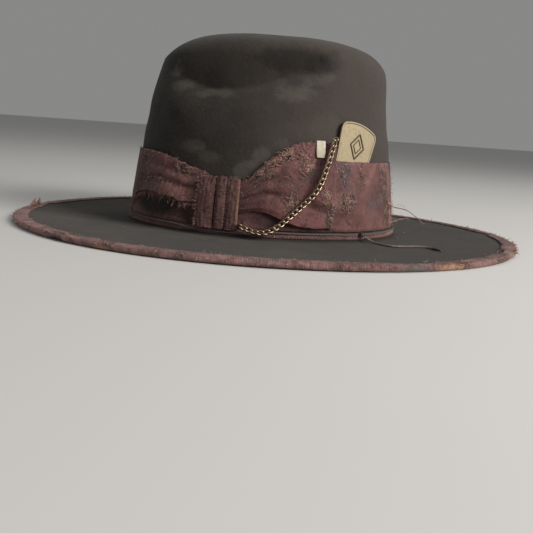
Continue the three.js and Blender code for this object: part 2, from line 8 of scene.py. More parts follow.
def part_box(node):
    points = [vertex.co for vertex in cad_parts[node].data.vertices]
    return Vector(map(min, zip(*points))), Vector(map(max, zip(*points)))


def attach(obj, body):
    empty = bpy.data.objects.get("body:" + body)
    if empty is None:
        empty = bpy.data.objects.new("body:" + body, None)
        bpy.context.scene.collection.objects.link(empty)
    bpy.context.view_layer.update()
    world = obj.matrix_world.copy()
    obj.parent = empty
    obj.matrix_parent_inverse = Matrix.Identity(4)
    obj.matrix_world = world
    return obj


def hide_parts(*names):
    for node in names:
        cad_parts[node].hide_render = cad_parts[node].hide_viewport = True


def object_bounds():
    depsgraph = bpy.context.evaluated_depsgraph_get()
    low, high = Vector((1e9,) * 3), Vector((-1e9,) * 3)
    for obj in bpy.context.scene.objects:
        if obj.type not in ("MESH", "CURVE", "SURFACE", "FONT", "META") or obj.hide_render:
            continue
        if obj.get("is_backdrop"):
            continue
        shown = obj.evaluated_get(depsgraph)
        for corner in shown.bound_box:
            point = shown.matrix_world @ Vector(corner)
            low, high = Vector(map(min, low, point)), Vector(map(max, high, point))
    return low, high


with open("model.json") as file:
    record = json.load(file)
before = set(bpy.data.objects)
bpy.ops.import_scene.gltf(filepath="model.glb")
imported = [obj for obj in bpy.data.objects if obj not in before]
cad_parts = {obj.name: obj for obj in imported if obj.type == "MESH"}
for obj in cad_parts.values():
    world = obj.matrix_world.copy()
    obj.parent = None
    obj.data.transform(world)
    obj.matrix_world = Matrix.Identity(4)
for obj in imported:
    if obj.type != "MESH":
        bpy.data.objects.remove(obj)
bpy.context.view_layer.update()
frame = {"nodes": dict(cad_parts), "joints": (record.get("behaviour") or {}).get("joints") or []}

scene = bpy.context.scene
D2R = math.pi / 180
rng = np.random.RandomState(7)

# ------------------------------------------------------------------ camera
def camera_axes(pitch, roll):
    f = np.array([0.0, math.cos(pitch), -math.sin(pitch)])
    r = np.array([1.0, 0.0, 0.0])
    u = np.cross(r, f)
    return r * math.cos(roll) + u * math.sin(roll), -r * math.sin(roll) + u * math.cos(roll), f

cam_data = bpy.data.cameras.new("camera")
cam_data.lens, cam_data.sensor_width, cam_data.sensor_fit = 50.66, 36.0, "HORIZONTAL"
cam_data.clip_start = 0.01
cam = bpy.data.objects.new("camera", cam_data)
scene.collection.objects.link(cam)
R_, U_, F_ = camera_axes(10.38 * D2R, 4.0 * D2R)
cam.matrix_world = Matrix(((R_[0], U_[0], -F_[0], 0.0031), (R_[1], U_[1], -F_[1], -0.6046), (R_[2], U_[2], -F_[2], 0.0793), (0, 0, 0, 1)))
scene.camera = cam

# ------------------------------------------------------------------ geometry of the hat, millimetres, as in the CAD
lo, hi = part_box("brim_binding")
BRIM_A, BRIM_B = (hi.x - lo.x) * 500, (hi.y - lo.y) * 500
CREST_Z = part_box("felt_body")[1].z * 1000
BRIM_Z0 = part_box("felt_body")[0].z * 1000
FELT_T, BIND_T, BIND_W = 2.4, 0.6, 9.0
CROWN_X, OVAL = -3.5, 0.846
SHOULDER_Z, SHOULDER_A, CREST_RHO = 122.0, 86.9, 0.66
TOP_DENT, SIDE_DENT = 17.0, 13.5
WALL = np.array([[3.3, 106.2], [5, 104.8], [8, 103.7], [14, 102.9], [26, 101.6], [42, 99.6], [59, 97.3],
                 [72, 96.0], [84, 93.4], [95, 92.0], [107, 89.7], [115, 88.3], [122, 86.9]])
BAND_T, BAND_GAP = 0.6, 0.4
TAG_T, TAG_L, TAG_TILT, TAG_TH, TAG_Z = 1.6, 58.0, 16.2, -51.2, 60.0
CHAIN_PITCH, WIRE_R, CORD_R = 4.05, 0.48, 0.75
TOPZ = BRIM_Z0 + FELT_T

def A3(x, y, z):
    x, y, z = np.broadcast_arrays(np.asarray(x, float), np.asarray(y, float), np.asarray(z, float))
    return np.stack([x, y, z], -1)

def sstep(a, b, x):
    t = np.clip((np.asarray(x, float) - a) / (b - a), 0, 1)
    return t * t * (3 - 2 * t)

def tab(T, x):
    T = np.asarray(T, float)
    return np.interp(x, T[:, 0], T[:, 1])

# the wall table made smooth: a monotone curve through the same points
from functools import lru_cache
def _wall_smooth():
    z = np.linspace(3.3, 122, 1200)
    a = np.interp(z, WALL[:, 0], WALL[:, 1])
    k = np.hanning(121); k /= k.sum()
    pad = 60
    ap = np.concatenate([a[0] + (a[0] - a[1:pad + 1][::-1]), a, a[-1] + (a[-1] - a[-pad - 1:-1][::-1])])
    s = np.convolve(ap, k, "same")[pad:-pad]
    w = sstep(6, 16, z)
    return z, a * (1 - w) + s * w
_WZ, _WA = _wall_smooth()

def unit(v):
    return v / np.maximum(np.linalg.norm(v, axis=-1, keepdims=True), 1e-12)

def crown0(th, t):
    th, t = np.broadcast_arrays(np.asarray(th, float), np.asarray(t, float))
    c, s = np.cos(th), np.sin(th)
    wall = t <= 1
    zw = 3.3 + np.clip(t, None, 1) * (SHOULDER_Z - 3.3)
    A = np.interp(zw, _WZ, _WA)
    rho = np.where(wall, 1.0, 2 - t)
    xs, ys = SHOULDER_A * rho * c, SHOULDER_A * OVAL * rho * s
    x = np.where(wall, A * c, xs)
    y = np.where(wall, A * OVAL * s, ys)
    crest = CREST_Z - 8.2 * (xs / 87) ** 4
    u = np.clip((rho - CREST_RHO) / (1 - CREST_RHO), 0, 1)
    zsh = SHOULDER_Z + (crest - SHOULDER_Z) * np.sqrt(np.maximum(0, 1 - u * u))
    q2 = ((xs - 2) / 58) ** 2 + (ys / (36 * (1 + 0.0033 * xs))) ** 2
    ztop = crest - TOP_DENT * np.power(np.clip(1 - q2, 0, 1), 1.5)
    z = np.where(wall, zw, np.where(rho > CREST_RHO, zsh, ztop))
    x = x + np.where(wall, 0, 1.5 * np.sin(np.pi * np.clip((1 - rho) / (1 - CREST_RHO), 0, 1)))
    zc = np.minimum(134, 105 + np.where(x > -35, 0.0052, 0.0095) * (x + 35) ** 2)
    fx = sstep(50, 24, x) * sstep(-92, -40, x)
    up = np.power(np.clip(1 - (z - zc) / (141 - zc), 0, 1), 1.4)
    dn = np.clip(1 - (zc - z) / 32, 0, 1) ** 2
    k = sstep(-1.6, 1.6, z - zc)
    g = up * k + dn * (1 - k)
    g = g * sstep(0.62, 0.86, rho) * sstep(0.25, 0.7, np.abs(y) / (SHOULDER_A * OVAL))
    y = y - np.sign(y) * SIDE_DENT * fx * g
    lean = 2.2 * sstep(95, 124, zw)
    return A3(x + CROWN_X + lean, y, z)

def crownN(th, t):
    th, t = np.broadcast_arrays(np.asarray(th, float), np.asarray(t, float))
    e, f = 2e-3, 3e-3
    a = crown0(th + f, t) - crown0(th - f, t)
    b = crown0(th, np.minimum(2, t + e)) - crown0(th, t - e)
    n = unit(np.cross(a, b))
    n[t > 1.995] = (0, 0, 1)
    return n

def tz(z):
    return (np.asarray(z, float) - 3.3) / (SHOULDER_Z - 3.3)

def P(th, t, off):
    return crown0(th, t) + crownN(th, t) * np.asarray(off, float)[..., None]

def Pz(deg, z, off):
    return P(np.asarray(deg, float) * D2R, tz(z), np.asarray(off, float))

tagN = crownN(TAG_TH * D2R, tz(TAG_Z)).reshape(3)
tagE = unit(np.array([-tagN[1], tagN[0], 0]))
tagW = np.cross(tagN, tagE)
tagW = tagW if tagW[2] > 0 else -tagW
ct, st = math.cos(TAG_TILT * D2R), math.sin(TAG_TILT * D2R)
tagU, tagV = tagE * ct - tagW * st, tagW * ct + tagE * st
tagO = Pz(TAG_TH, TAG_Z, 1.15 + TAG_T / 2).reshape(3)

def pocket(th, z):
    th = np.asarray(th, float)
    d = (th - TAG_TH + 180) % 360 - 180
    r = crown0(th * D2R, tz(z)) - tagO
    u, v, de = r @ tagU, r @ tagV, -(r @ tagN)
    w = sstep(28, 18.5, np.abs(u)) * sstep(-42, -34, v)
    return np.where(np.abs(d) > 32, 0, w * np.maximum(0, de + TAG_T / 2 + 0.45 - BAND_GAP))

def band_out(th, z):
    return BAND_GAP + pocket(th, z) + BAND_T

LW_TOP = [[-176, 58.6], [-146, 58.1], [-138, 56.9], [-131.5, 54.8], [-125.7, 52.1], [-120.5, 49.5], [-115.8, 48.0], [-112, 45.5]]
RW_TOP = [[-101, 39], [-98.5, 41.5], [-96.3, 43.2], [-93.4, 47.6], [-90.9, 52.7], [-88, 57.8], [-84.4, 62.3], [-80.6, 67.5], [-77.9, 69.8], [-75.5, 70.8], [-69.3, 71.8], [-61, 72.2]]
RW_BOT = [[-101, 20], [-98, 20.9], [-94.3, 22.1], [-89.8, 22.7], [-86.7, 21], [-80.8, 16.8], [-76, 13.6], [-70, 12.8], [-61, 12.9]]
LW_BOT = [[-172, 13], [-163, 17.5], [-152.5, 26.1], [-143, 28.5], [-135.6, 28.4], [-129, 27.3], [-124, 26.2], [-119, 24.3], [-112, 22.6]]
RW_BUL = [[0, 0], [0.06, 0.2], [0.15, 1.5], [0.3, 2.9], [0.5, 3.1], [0.7, 2.8], [0.85, 2.2], [0.95, 1.1], [1, 0.5]]
LW_BUL = [[0, 0], [0.1, 0.7], [0.3, 2.2], [0.55, 3.3], [0.8, 2.9], [0.9, 1.5], [0.94, 0.4], [1, 0]]

def stab(T, x, w):
    """table value smoothed over +-w"""
    return sum(tab(T, x + w * d) for d in (-1, -0.5, 0, 0.5, 1)) / 5

def band_top(th):
    th = np.asarray(th, float)
    a = stab(LW_TOP, th, 3) - 1.8
    c = np.minimum(60, stab(RW_TOP, th, 2) - 3.0)
    e = tab([[-78, 60], [150, 59.5], [180, 57.2]], th)
    r = np.where(th < -112, a, np.where(th < -101, 41.0, np.where(th < -78, c, e)))
    return r

def band_bot(th):
    return tab([[-180, 9.9], [-120, 9.6], [-95, 9.9], [-60, 10.6], [90, 10.4], [180, 9.9]], th)

def rw_in(th, z):
    s = np.clip((th + 101) / 40, 0, 1)
    lo_, hi_ = stab(RW_BOT, th, 1.5), stab(RW_TOP, th, 1.5)
    k = np.clip((z - lo_) / (hi_ - lo_), 0, 1)
    return band_out(th, z) + 0.4 + stab(RW_BUL, s, 0.04) * (1.15 - 0.25 * k)

def lw_in(th, z):
    s = np.clip((th + 171) / 59, 0, 1)
    lo_, hi_ = stab(LW_BOT, th, 1.5), stab(LW_TOP, th, 1.5)
    k = np.clip((z - lo_) / (hi_ - lo_), 0, 1)
    return band_out(th, z) + 0.4 + stab(LW_BUL, s, 0.03) * (1.2 - 0.75 * k)

def nz(p, s, seed=0.0):
    """smooth noise -1..1 at points p (mm), feature size s (mm)"""
    p = np.asarray(p, float)
    q = p.reshape(-1, 3) / s
    out = np.array([noise.noise(Vector((a + seed, b - seed * 0.7, c + seed * 1.3))) for a, b, c in q])
    return out.reshape(p.shape[:-1])

# ------------------------------------------------------------------ mesh making
def new_mesh(name, verts, faces, uvs=None, smooth=True):
    me = bpy.data.meshes.new(name)
    me.from_pydata([tuple(v) for v in np.asarray(verts, float) * 0.001], [], [tuple(int(i) for i in f) for f in faces])
    if uvs is not None:
        lay = me.uv_layers.new(name="UVMap")
        flat = np.concatenate([np.asarray(u, float).reshape(-1, 2) for u in uvs]) * 0.001
        lay.data.foreach_set("uv", flat.astype(np.float32).ravel())
    me.validate()
    me.update()
    if smooth:
        me.polygons.foreach_set("use_smooth", [True] * len(me.polygons))
    o = bpy.data.objects.new(name, me)
    scene.collection.objects.link(o)
    return o

def finish_piece(o, material, body, nodes=(), auto=None):
    o.data.materials.clear()
    o.data.materials.append(material)
    import bmesh
    if o.type == "MESH":
        bm = bmesh.new(); bm.from_mesh(o.data)
        bmesh.ops.recalc_face_normals(bm, faces=bm.faces)
        bm.to_mesh(o.data); bm.free()
    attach(o, body)
    if nodes:
        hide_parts(*nodes)
    return o

def grid_faces(n, m, cu, cv, Ue, Ve, base=0):
    """quads of an n x m grid; Ue has n+1 entries when closed in u; Ve likewise"""
    faces, uvs = [], []
    for i in range(n if cu else n - 1):
        for j in range(m if cv else m - 1):
            i2, j2 = (i + 1) % n, (j + 1) % m
            faces.append((base + i * m + j, base + i2 * m + j, base + i2 * m + j2, base + i * m + j2))
            uvs.append([(Ue[i], Ve[j]), (Ue[i + 1], Ve[j]), (Ue[i + 1], Ve[j + 1]), (Ue[i], Ve[j + 1])])
    return faces, uvs

def sheet_mesh(name, outer, inner, U, Vv, closed):
    """thin sheet: outer, inner (n,m,3) point grids; U along, V up, in mm"""
    n, m = outer.shape[:2]
    sec = np.concatenate([outer, inner[:, ::-1]], 1)
    Ve = np.concatenate([Vv, Vv[::-1], Vv[:1]])
    Ue = np.asarray(U if not closed else list(U) + [U[-1] + (U[1] - U[0])])
    faces, uvs = grid_faces(n, 2 * m, closed, True, Ue, Ve)
    if not closed:
        for i in (0, n - 1):
            for j in range(m - 1):
                a = i * 2 * m
                q = (a + j, a + j + 1, a + 2 * m - 2 - j, a + 2 * m - 1 - j)
                faces.append(q if i == 0 else q[::-1])
                uvs.append([(U[i], Vv[j])] * 4)
    return new_mesh(name, sec.reshape(-1, 3), faces, uvs)

def on_crown(cols, K, zfun, infun, thick, ripple=None):
    """outer and inner grids of a ribbon on the crown. cols in degrees, K 0..1 from its lower edge to its upper one"""
    TH, KK = np.meshgrid(cols, K, indexing="ij")
    Z = zfun(TH, KK)
    off = infun(TH, Z)
    if ripple is not None:
        off = off + ripple(TH, Z, KK)
    T = np.broadcast_to(np.asarray(thick, float), off.shape)
    return Pz(TH, Z, off + T), Pz(TH, Z, off), TH, Z

class Tubes:
    """many thin tubes in one mesh"""
    def __init__(self):
        self.v, self.f, self.uv, self.n = [], [], [], 0
    def add(self, pts, r, sides=5, r_end=None, u0=0.0, closed=False, normals=None):
        pts = np.asarray(pts, float)
        n = len(pts)
        t = unit(np.roll(pts, -1, 0) - np.roll(pts, 1, 0)) if closed else unit(np.gradient(pts, axis=0))
        if normals is None:
            a = np.cross(t[0], [0.13, 0.31, 0.94]); a = a / np.linalg.norm(a)
            fr = []
            for i in range(n):
                a = a - t[i] * (a @ t[i]); a = a / np.linalg.norm(a); fr.append(a)
            fr = np.array(fr)
        else:
            fr = np.asarray(normals, float)
            fr = unit(fr - t * (fr * t).sum(-1, keepdims=True))
        b = np.cross(t, fr)
        rr = np.broadcast_to(np.asarray(r, float), (n,)) if r_end is None else np.linspace(r, r_end, n)
        w = 2 * np.pi * np.arange(sides) / sides
        ring = pts[:, None] + (fr[:, None] * np.cos(w)[None, :, None] + b[:, None] * np.sin(w)[None, :, None]) * rr[:, None, None]
        s = np.concatenate([[0], np.cumsum(np.linalg.norm(np.diff(pts, axis=0), axis=1))]) + u0
        if closed:
            s = np.append(s, s[-1] + np.linalg.norm(pts[0] - pts[-1]))
        Vv = np.arange(sides + 1) / sides * 2 * np.pi * float(rr.mean())
        f, uv = grid_faces(n, sides, closed, True, s, Vv, self.n)
        self.f += f; self.uv += uv
        if not closed:
            self.f.append(tuple(self.n + k for k in range(sides))[::-1]); self.uv.append([(s[0], x) for x in Vv[:sides]])
            self.f.append(tuple(self.n + (n - 1) * sides + k for k in range(sides))); self.uv.append([(s[-1], x) for x in Vv[:sides]])
        self.v.append(ring.reshape(-1, 3)); self.n += n * sides
    def obj(self, name):
        flat = [c for u in self.uv for c in u]
        return new_mesh(name, np.concatenate(self.v), self.f, [np.array(flat)])

def spline(keys, n):
    """centripetal-like smooth curve through points"""
    k = np.asarray(keys, float)
    d = np.concatenate([[0], np.cumsum(np.linalg.norm(np.diff(k, axis=0), axis=1) ** 0.5 + 1e-6)])
    out = []
    m = (np.roll(k, -1, 0) - np.roll(k, 1, 0)) / ((np.roll(d, -1) - np.roll(d, 1))[:, None] + 1e-12)
    m[0] = (k[1] - k[0]) / (d[1] - d[0]); m[-1] = (k[-1] - k[-2]) / (d[-1] - d[-2])
    for x in np.linspace(0, d[-1], n):
        i = min(len(k) - 2, max(0, int(np.searchsorted(d, x) - 1)))
        h = d[i + 1] - d[i]; s = (x - d[i]) / h
        out.append((2 * s**3 - 3 * s**2 + 1) * k[i] + (s**3 - 2 * s**2 + s) * h * m[i] + (-2 * s**3 + 3 * s**2) * k[i + 1] + (s**3 - s**2) * h * m[i + 1])
    return np.array(out)

def resample(p, n):
    s = np.concatenate([[0], np.cumsum(np.linalg.norm(np.diff(p, axis=0), axis=1))])
    x = np.linspace(0, s[-1], n)
    return np.stack([np.interp(x, s, p[:, i]) for i in range(3)], 1), s[-1]

# ------------------------------------------------------------------ material kit
class Mat:
    def __init__(self, name):
        self.m = bpy.data.materials.new(name)
        self.m.use_nodes = True
        self.t = self.m.node_tree
        self.t.nodes.clear()
        self.out = self.t.nodes.new("ShaderNodeOutputMaterial")
        self.b = self.t.nodes.new("ShaderNodeBsdfPrincipled")
        self.t.links.new(self.b.outputs[0], self.out.inputs[0])
        self.tc = self.t.nodes.new("ShaderNodeTexCoord")
        self.obj, self.uv = self.tc.outputs["Object"], self.tc.outputs["UV"]
    def put(self, sock, v):
        if isinstance(v, bpy.types.NodeSocket):
            self.t.links.new(v, sock)
        elif isinstance(v, (tuple, list)) and sock.type == "RGBA":
            sock.default_value = (*v[:3], 1.0)
        else:
            sock.default_value = v
    def node(self, typ, props=None, **ins):
        n = self.t.nodes.new(typ)
        for k, v in (props or {}).items():
            setattr(n, k, v)
        for k, v in ins.items():
            self.put(n.inputs[k.replace("_", " ")], v)
        return n
    def noise(self, scale, detail=4.0, rough=0.55, dist=0.0, vec=None, color=False):
        n = self.node("ShaderNodeTexNoise", Vector=vec or self.obj, Scale=scale, Detail=detail, Roughness=rough, Distortion=dist)
        return n.outputs["Color" if color else 0]
    def voronoi(self, scale, vec=None, feature="F1", out="Distance"):
        n = self.node("ShaderNodeTexVoronoi", {"feature": feature}, Vector=vec or self.obj, Scale=scale)
        return n.outputs[out]
    def math(self, op, a, b=0.0, c=None, clamp=False):
        n = self.t.nodes.new("ShaderNodeMath"); n.operation = op; n.use_clamp = clamp
        self.put(n.inputs[0], a); self.put(n.inputs[1], b)
        if c is not None: self.put(n.inputs[2], c)
        return n.outputs[0]
    def rng(self, v, a, b, c=0.0, d=1.0, smooth=True):
        n = self.t.nodes.new("ShaderNodeMapRange"); n.interpolation_type = "SMOOTHSTEP" if smooth else "LINEAR"
        for s, x in zip(n.inputs[:5], (v, a, b, c, d)): self.put(s, x)
        return n.outputs[0]
    def mix(self, f, a, b, mode="MIX"):
        n = self.t.nodes.new("ShaderNodeMix"); n.data_type = "RGBA"; n.blend_type = mode; n.clamp_factor = True
        self.put(n.inputs[0], f); self.put(n.inputs[6], a); self.put(n.inputs[7], b)
        return n.outputs[2]
    def sep(self, v):
        n = self.node("ShaderNodeSeparateXYZ", Vector=v)
        return n.outputs
    def comb(self, x, y, z=0.0):
        n = self.t.nodes.new("ShaderNodeCombineXYZ")
        for s, v in zip(n.inputs, (x, y, z)): self.put(s, v)
        return n.outputs[0]
    def scalev(self, vec, s):
        n = self.t.nodes.new("ShaderNodeVectorMath"); n.operation = "MULTIPLY"
        self.put(n.inputs[0], vec); n.inputs[1].default_value = s
        return n.outputs[0]
    def addv(self, a, b):
        n = self.t.nodes.new("ShaderNodeVectorMath"); n.operation = "ADD"
        self.put(n.inputs[0], a); self.put(n.inputs[1], b)
        return n.outputs[0]
    def blob(self, c, s, wob=0.0, wn=None):
        """soft ellipsoid mask at c (m), half sizes s (m), its edge broken by a noise"""
        n = self.t.nodes.new("ShaderNodeVectorMath"); n.operation = "SUBTRACT"
        self.put(n.inputs[0], self.obj); n.inputs[1].default_value = c
        v = self.scalev(n.outputs[0], tuple(1.0 / x for x in s))
        l = self.t.nodes.new("ShaderNodeVectorMath"); l.operation = "LENGTH"; self.put(l.inputs[0], v)
        d = l.outputs["Value"]
        if wn is not None:
            d = self.math("MULTIPLY_ADD", self.math("SUBTRACT", wn, 0.5), wob, d)
        return self.rng(d, 1.0, 0.45)
    def bump(self, h, dist, strength=1.0, normal=None):
        n = self.t.nodes.new("ShaderNodeBump"); n.inputs["Strength"].default_value = strength
        n.inputs["Distance"].default_value = dist
        self.put(n.inputs["Height"], h)
        if normal is not None: self.put(n.inputs["Normal"], normal)
        return n.outputs[0]
    def set(self, **kw):
        for k, v in kw.items():
            self.put(self.b.inputs[k.replace("_", " ")], v)
        return self.m

# ------------------------------------------------------------------ materials
def felt_material(inside=False):
    m = Mat("felt_inside" if inside else "felt")
    big = m.noise(14, 5, 0.6, 0.4)
    mid = m.noise(46, 6, 0.62, 0.3)
    fine = m.noise(420, 3, 0.6)
    nap = m.noise(2400, 2, 0.7)
    c = m.mix(m.rng(big, 0.34, 0.66), (0.017, 0.0145, 0.0125), (0.041, 0.035, 0.030))
    c = m.mix(m.math("MULTIPLY", m.rng(mid, 0.50, 0.72), 0.55), c, (0.012, 0.010, 0.009))
    c = m.mix(m.math("MULTIPLY", m.rng(fine, 0.5, 0.8), 0.38), c, (0.075, 0.064, 0.055))
    s = m.sep(m.obj)
    if not inside:
        # painted light: the back (+x) half of the crown, on the key light's side, painted lighter than the front half
        c = m.mix(m.math("MULTIPLY", m.math("MULTIPLY", m.rng(s[0], -0.09, 0.06), m.rng(s[2], 0.02, 0.06)), 0.68), c, (0.068, 0.056, 0.050))
        # dusty wax marks where the crown has been handled
        dust = (0.100, 0.091, 0.077)
        marks = [((-0.054, -0.074, 0.064), (0.012, 0.022, 0.007), 0.60), ((-0.044, -0.078, 0.058), (0.013, 0.022, 0.006), 0.35), ((-0.004, -0.087, 0.060), (0.010, 0.022, 0.010), 0.55),
                 ((-0.015, -0.087, 0.050), (0.010, 0.022, 0.007), 0.50), ((0.010, -0.086, 0.070), (0.012, 0.022, 0.007), 0.32), ((0.012, -0.080, 0.106), (0.024, 0.024, 0.009), 0.62),
                 ((0.028, -0.076, 0.116), (0.018, 0.024, 0.007), 0.50), ((-0.073, -0.052, 0.118), (0.010, 0.024, 0.009), 0.55), ((-0.066, -0.058, 0.107), (0.015, 0.024, 0.006), 0.55),
                 ((-0.046, -0.070, 0.102), (0.022, 0.024, 0.005), 0.45), ((0.042, -0.065, 0.082), (0.018, 0.030, 0.012), 0.20), ((0.05, 0.06, 0.09), (0.03, 0.02, 0.02), 0.4),
                 ((-0.05, 0.06, 0.10), (0.03, 0.02, 0.012), 0.5), ((0.085, 0.02, 0.10), (0.02, 0.03, 0.02), 0.35), ((-0.09, 0.01, 0.09), (0.02, 0.03, 0.02), 0.4)]
        smear = m.rng(m.noise(80, 6, 0.7, 1.0), 0.22, 0.50)
        for cc, ss, a in marks:
            c = m.mix(m.math("MULTIPLY", m.math("MULTIPLY", m.blob(cc, ss, 2.2, mid), smear), a), c, dust)
        # brim top: scuffs running round, paler near the worn edge
        ringn = m.noise(30, 5, 0.65, 1.4)
        onbrim = m.rng(s[2], 0.007, 0.0045)
        c = m.mix(m.math("MULTIPLY", m.math("MULTIPLY", onbrim, m.rng(ringn, 0.44, 0.66)), 0.60), c, (0.066, 0.051, 0.039))
        scratch = m.noise(150, 3, 0.7, 0.2, vec=m.scalev(m.obj, (0.25, 1.6, 1.0)))
        c = m.mix(m.math("MULTIPLY", m.math("MULTIPLY", onbrim, m.rng(scratch, 0.60, 0.72)), 0.35), c, (0.125, 0.105, 0.092))
        # painted shade: the felt down in the side pinch painted darker, where the dent's wall is turned from the light;
        # the brim top a little darker and browner overall; the back (+x) part of the brim painted darker still, as
        # painted shade
        c = m.mix(m.math("MULTIPLY", m.blob((0.014, -0.060, 0.128), (0.036, 0.034, 0.012), 1.2, mid), 0.70), c, (0.010, 0.0085, 0.0072))
        c = m.mix(m.math("MULTIPLY", onbrim, 0.40), c, (0.028, 0.0205, 0.0140))
        c = m.mix(m.math("MULTIPLY", m.math("MULTIPLY", onbrim, m.rng(s[0], 0.0, 0.13)), 0.62), c, (0.0105, 0.0080, 0.0058))
        # painted highlight: a pale line along the crown's ridge where the light catches it
        ridge_painted_highlight = m.math("MULTIPLY", m.rng(s[2], 0.137, 0.1445), m.rng(mid, 0.35, 0.6))
        c = m.mix(m.math("MULTIPLY", ridge_painted_highlight, 0.35), c, (0.085, 0.074, 0.064))
    c = m.mix(m.math("MULTIPLY", m.rng(nap, 0.3, 0.75), 0.30), c, (0.006, 0.005, 0.0045))
    h = m.math("MULTIPLY_ADD", nap, 0.45, m.math("MULTIPLY", fine, 1.0))
    n = m.bump(h, 0.0006, 0.7)
    n = m.bump(mid, 0.0020, 0.45, n)
    return m.set(Base_Color=c, Roughness=m.rng(mid, 0.3, 0.7, 0.97, 0.84), Normal=n, Sheen_Weight=0.08, Sheen_Roughness=0.5, Specular_IOR_Level=0.18)

def ribbon_material(name, base=(0.125, 0.052, 0.050), rib=0.00072, along_u=True, wear=0.5, worn=(0.33, 0.215, 0.145), dark=(0.035, 0.016, 0.016), pale=(0.235, 0.125, 0.115), blue=0.35, places=(), tints=()):
    """ribbed ribbon: ribs across its length, rubbed high spots with painted highlights, broken threads, dye tints,
    gritty dark specks, and patches given per ribbon, painted shade under the bow among them
    """
    m = Mat(name)
    uv = m.sep(m.uv)
    U, W = (uv[0], uv[1]) if along_u else (uv[1], uv[0])
    big = m.noise(24, 6, 0.62, 0.6)
    mid = m.noise(85, 7, 0.66, 0.8)
    fine = m.noise(520, 4, 0.6)
    vec = m.comb(m.math("MULTIPLY", U, 1.0), m.math("MULTIPLY", W, 0.14))
    threads = m.noise(1500, 3, 0.6, 0.15, vec=vec)
    vec2 = m.comb(m.math("MULTIPLY", U, 0.12), m.math("MULTIPLY", W, 1.0))
    weft = m.noise(1300, 3, 0.6, 0.1, vec=vec2)
    ribs = m.math("SINE", m.math("MULTIPLY", U, 2 * math.pi / rib))
    c = m.mix(m.rng(big, 0.36, 0.64), tuple(0.50 * x for x in base), tuple(1.35 * x for x in base))
    c = m.mix(m.math("MULTIPLY", m.rng(mid, 0.50, 0.66), 0.70), c, dark)
    c = m.mix(m.math("MULTIPLY", m.rng(m.noise(33, 4, 0.6, 0.8, vec=m.addv(m.obj, (3.1, 1.7, 0.4))), 0.54, 0.68), blue), c, (0.105, 0.088, 0.098))
    c = m.mix(m.math("MULTIPLY", m.rng(m.noise(38, 5, 0.6, 1.0, vec=m.addv(m.obj, (7.3, 2.2, 5.1))), 0.53, 0.68), 0.5), c, pale)
    c = m.mix(m.math("MULTIPLY", m.rng(threads, 0.42, 0.70), 0.5), c, tuple(min(1, 1.9 * x) for x in base))
    # broken surface: clusters of rubbed threads
    clus = m.rng(m.noise(62, 6, 0.7, 1.6, vec=m.addv(m.obj, (1.3, 4.1, 2.2))), 0.60 - 0.10 * wear, 0.72 - 0.10 * wear)
    for cc, ss, a in places:
        clus = m.math("MAXIMUM", clus, m.math("MULTIPLY", m.blob(cc, ss, 1.6, mid), a))
    brk = m.math("MULTIPLY", clus, m.rng(m.noise(430, 5, 0.7, 1.2), 0.46, 0.60))
    brk2 = m.math("MULTIPLY", clus, m.rng(m.noise(560, 4, 0.7, 1.4, vec=m.addv(m.obj, (9.3, 4.1, 2.7))), 0.54, 0.63))
    c = m.mix(m.math("MULTIPLY", brk, 0.72), c, worn)
    # painted highlight: pale glints painted on the rubbed threads, over their real wear
    shine = m.math("MULTIPLY", clus, m.rng(m.noise(900, 3, 0.6, 0.8), 0.58, 0.70))
    c = m.mix(m.math("MULTIPLY", shine, 0.55), c, (0.42, 0.30, 0.25))
    c = m.mix(m.math("MULTIPLY", brk2, 0.92), c, (0.014, 0.009, 0.008))
    # patches given per ribbon; on the band these are painted shade under the bow's wings, and one grey patch
    for cc, ss, a, col in tints:
        c = m.mix(m.math("MULTIPLY", m.blob(cc, ss, 1.3, mid), a), c, col)
    # gritty stains
    c = m.mix(m.math("MULTIPLY", m.rng(fine, 0.55, 0.75), 0.25), c, dark)
    h = m.math("MULTIPLY_ADD", ribs, 0.35, m.math("MULTIPLY", weft, 0.6))
    h = m.math("MULTIPLY_ADD", brk, 3.2, h)
    h = m.math("MULTIPLY_ADD", brk2, -3.2, h)
    n = m.bump(h, 0.00030, 0.95)
    n = m.bump(mid, 0.0022, 0.7, n)
    return m.set(Base_Color=c, Roughness=m.rng(mid, 0.3, 0.75, 0.60, 0.86), Normal=n, Sheen_Weight=0.07, Sheen_Roughness=0.4, Specular_IOR_Level=0.30)

def metal_material(name, base, dark, rough=(0.28, 0.55), scale=220, grime=0.5, scratches=False, metallic=1.0):
    m = Mat(name)
    a = m.noise(scale, 6, 0.65, 0.5)
    b = m.noise(scale * 5, 4, 0.6)
    c = m.mix(m.rng(a, 0.35, 0.70), tuple(0.78 * x for x in base), tuple(min(1, 1.12 * x) for x in base))
    c = m.mix(m.math("MULTIPLY", m.rng(b, 0.52, 0.72), grime), c, dark)
    r = m.rng(a, 0.3, 0.7, *rough)
    h = m.math("MULTIPLY_ADD", b, 0.5, a)
    if scratches:
        v = m.scalev(m.obj, (1.0, 0.6, 0.06))
        s = m.noise(1500, 3, 0.6, 0.4, vec=v)
        s2 = m.noise(900, 2, 0.5, 0.3, vec=m.scalev(m.obj, (0.08, 0.3, 1.0)))
        sc = m.math("MAXIMUM", m.rng(s, 0.62, 0.70), m.rng(s2, 0.66, 0.72))
        c = m.mix(m.math("MULTIPLY", sc, 0.4), c, tuple(min(1, 1.35 * x) for x in base))
        h = m.math("MULTIPLY_ADD", sc, -1.0, h)
    n = m.bump(h, 0.00012, 0.5)
    return m.set(Base_Color=c, Metallic=metallic, Roughness=r, Normal=n)

